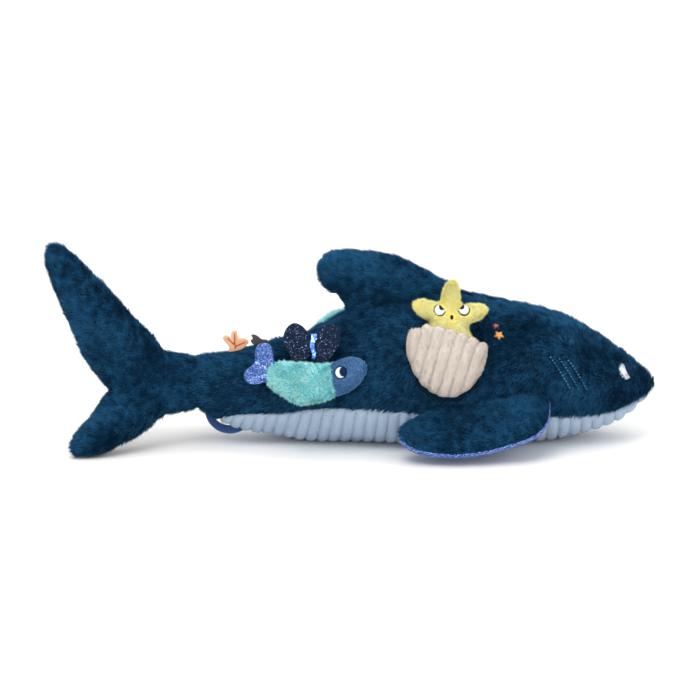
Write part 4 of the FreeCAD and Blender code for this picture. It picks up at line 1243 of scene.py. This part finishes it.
def makeWing(name, nodeName, bodyName, seed):
    # a leaf of gathered net with a bound edge
    piece = copyOf(name, [nodeName])
    remesh(piece, 0.5 * mm)
    relax(piece, 3)
    places = coords(piece)
    low, high = boxOf(nodeName)
    base = np.array([(low.x + high.x) / 2, low.y, low.z - 6 * mm])
    angle = np.arctan2(places[:, 0] - base[0], places[:, 2] - base[2])
    climb = np.clip((places[:, 2] - low.z) / (high.z - low.z), 0, 1)
    fold = np.sin(angle * 16 + seed) * 0.55 * mm * (1.2 - climb)
    fold += noiseAt(places, 0.012, seed) * 1.0 * mm * climb
    places += np.outer(fold, fishOut)
    setCoords(piece, places)
    finishPiece(piece, "net", bodyName, (nodeName,))
    return piece


for name, nodeName, bodyName, seed in (("wingRear", "wing_rear", "rear_wing", 51),
                                       ("wingFront", "wing_front", "front_wing", 52)):
    wing = makeWing(name, nodeName, bodyName, seed)


def makeFoil():
    piece = copyOf("foilRibbon", ["foil_ribbon"])
    remesh(piece, 0.45 * mm)
    places = coords(piece)
    low, high = boxOf("foil_ribbon")
    climb = (places[:, 2] - low.z) / (high.z - low.z)
    middle = (low.x + high.x) / 2
    places[:, 0] = middle + (places[:, 0] - middle) * (0.55 + 0.45 * climb) + np.sin(climb * 9) * 0.9 * mm
    wave = np.sin(climb * 12 + (places[:, 0] - middle) / (3 * mm)) * 0.8 * mm
    places += np.outer(wave, fishOut)
    setCoords(piece, places)
    finishPiece(piece, "foil", "front_wing", ("foil_ribbon",))


makeFoil()


def softTab(name, nodeName, look, bodyName, seed):
    # cut felt or suede with softened edges and a slight curl
    piece = copyOf(name, [nodeName])
    remesh(piece, 0.5 * mm)
    relax(piece, 5)
    places = coords(piece)
    low, high = boxOf(nodeName)
    climb = np.clip((places[:, 2] - low.z) / (high.z - low.z), 0, 1)
    pushOut(piece, noiseAt(places, 0.006, seed) * 0.25 * mm + 0.1 * mm)
    places = coords(piece)
    places[:, 1] += noiseAt(places * [1, 0, 1], 0.02, seed + 1) * 1.2 * mm * climb
    setCoords(piece, places)
    finishPiece(piece, look, bodyName, (nodeName,))
    return piece


softTab("coralFrond", "coral_frond", "orangeFelt", "coral", 61)
softTab("greyFrond", "grey_frond", "greySuede", "grey_coral", 62)
softTab("coralVeins", "coral_veins", "veinThread", "coral", 61)
ribbon = copyOf("ribbonLoop", ["ribbon_loop"])
remesh(ribbon, 0.4 * mm)
relax(ribbon, 3)
places = coords(ribbon)
low, high = boxOf("ribbon_loop")
loopAim = unit(places - np.array([(low.x + high.x) / 2, 0, high.z + 8 * mm]) * [1, 0, 1] - places * [0, 1, 0])
setCoords(ribbon, places - loopAim * (places[:, 1:2] - (low.y + high.y) / 2) * 0.8)
finishPiece(ribbon, "ribbonSatin", "ribbon", ("ribbon_loop",))

# the teal tuft on the far side
patchSkin = copyOf("tealPatch", ["teal_patch"])
remesh(patchSkin, 1.2 * mm)
relax(patchSkin, 3)
finishPiece(patchSkin, "tealBacking", "shark", ("teal_patch",))
patchCoat = {"count": 5000, "length": 7.0 * mm, "width": 0.8 * mm, "lean": 66, "nap": (-0.6, 0.2, 0.2),
             "swirl": 0.01, "clump": 0.004, "stray": 1.0, "seed": 17}
for piece in plant("tealPatchFur", patchSkin, patchCoat):
    finishPiece(piece, "tealPile", "shark", ())
print("small parts made")


# floor, light and camera

view = {"span": 0.63, "distance": 4.0, "lift": 15.0, "targetHeight": 0.0811}


def makeStage():
    bpy.ops.mesh.primitive_plane_add(size=8, location=(0, 0, -0.0002))
    floor = bpy.context.object
    floor.name = "floor"
    material, tree, shader = startMaterial("paleFloor", 0.9)
    shader.inputs["Base Color"].default_value = (0.95, 0.94, 0.92, 1)
    floor.data.materials.append(material)
    world = bpy.data.worlds.new("studio")
    scene.world = world
    world.use_nodes = True
    world.node_tree.nodes["Background"].inputs["Color"].default_value = (1, 1, 1, 1)
    world.node_tree.nodes["Background"].inputs["Strength"].default_value = 0.9
    for name, place, power, size in (("key", (-0.5, -1.2, 2.2), 26, 1.4), ("fill", (1.8, -1.6, 1.2), 8, 1.6),
                                     ("top", (0.2, 0.6, 2.4), 20, 2.0)):
        bpy.ops.object.light_add(type="AREA", location=place)
        lamp = bpy.context.object
        lamp.name = name
        lamp.data.energy = power
        lamp.data.size = size
        lamp.rotation_euler = (Vector((0, 0, 0.06)) - Vector(place)).to_track_quat("-Z", "Y").to_euler()


def makeCamera():
    lens = bpy.data.cameras.new("camera")
    camera = bpy.data.objects.new("camera", lens)
    bpy.context.collection.objects.link(camera)
    tilt = math.radians(view["lift"])
    rise = view["targetHeight"] + view["distance"] * math.sin(tilt)
    camera.location = (0, -view["distance"] * math.cos(tilt), rise)
    camera.rotation_euler = (math.radians(90) - tilt, 0, 0)
    lens.sensor_width = 36
    lens.lens = 36 * view["distance"] / view["span"]
    lens.clip_end = 50
    scene.camera = camera


makeStage()
makeCamera()
scene.view_settings.view_transform = "Standard"
print("stage and camera made")
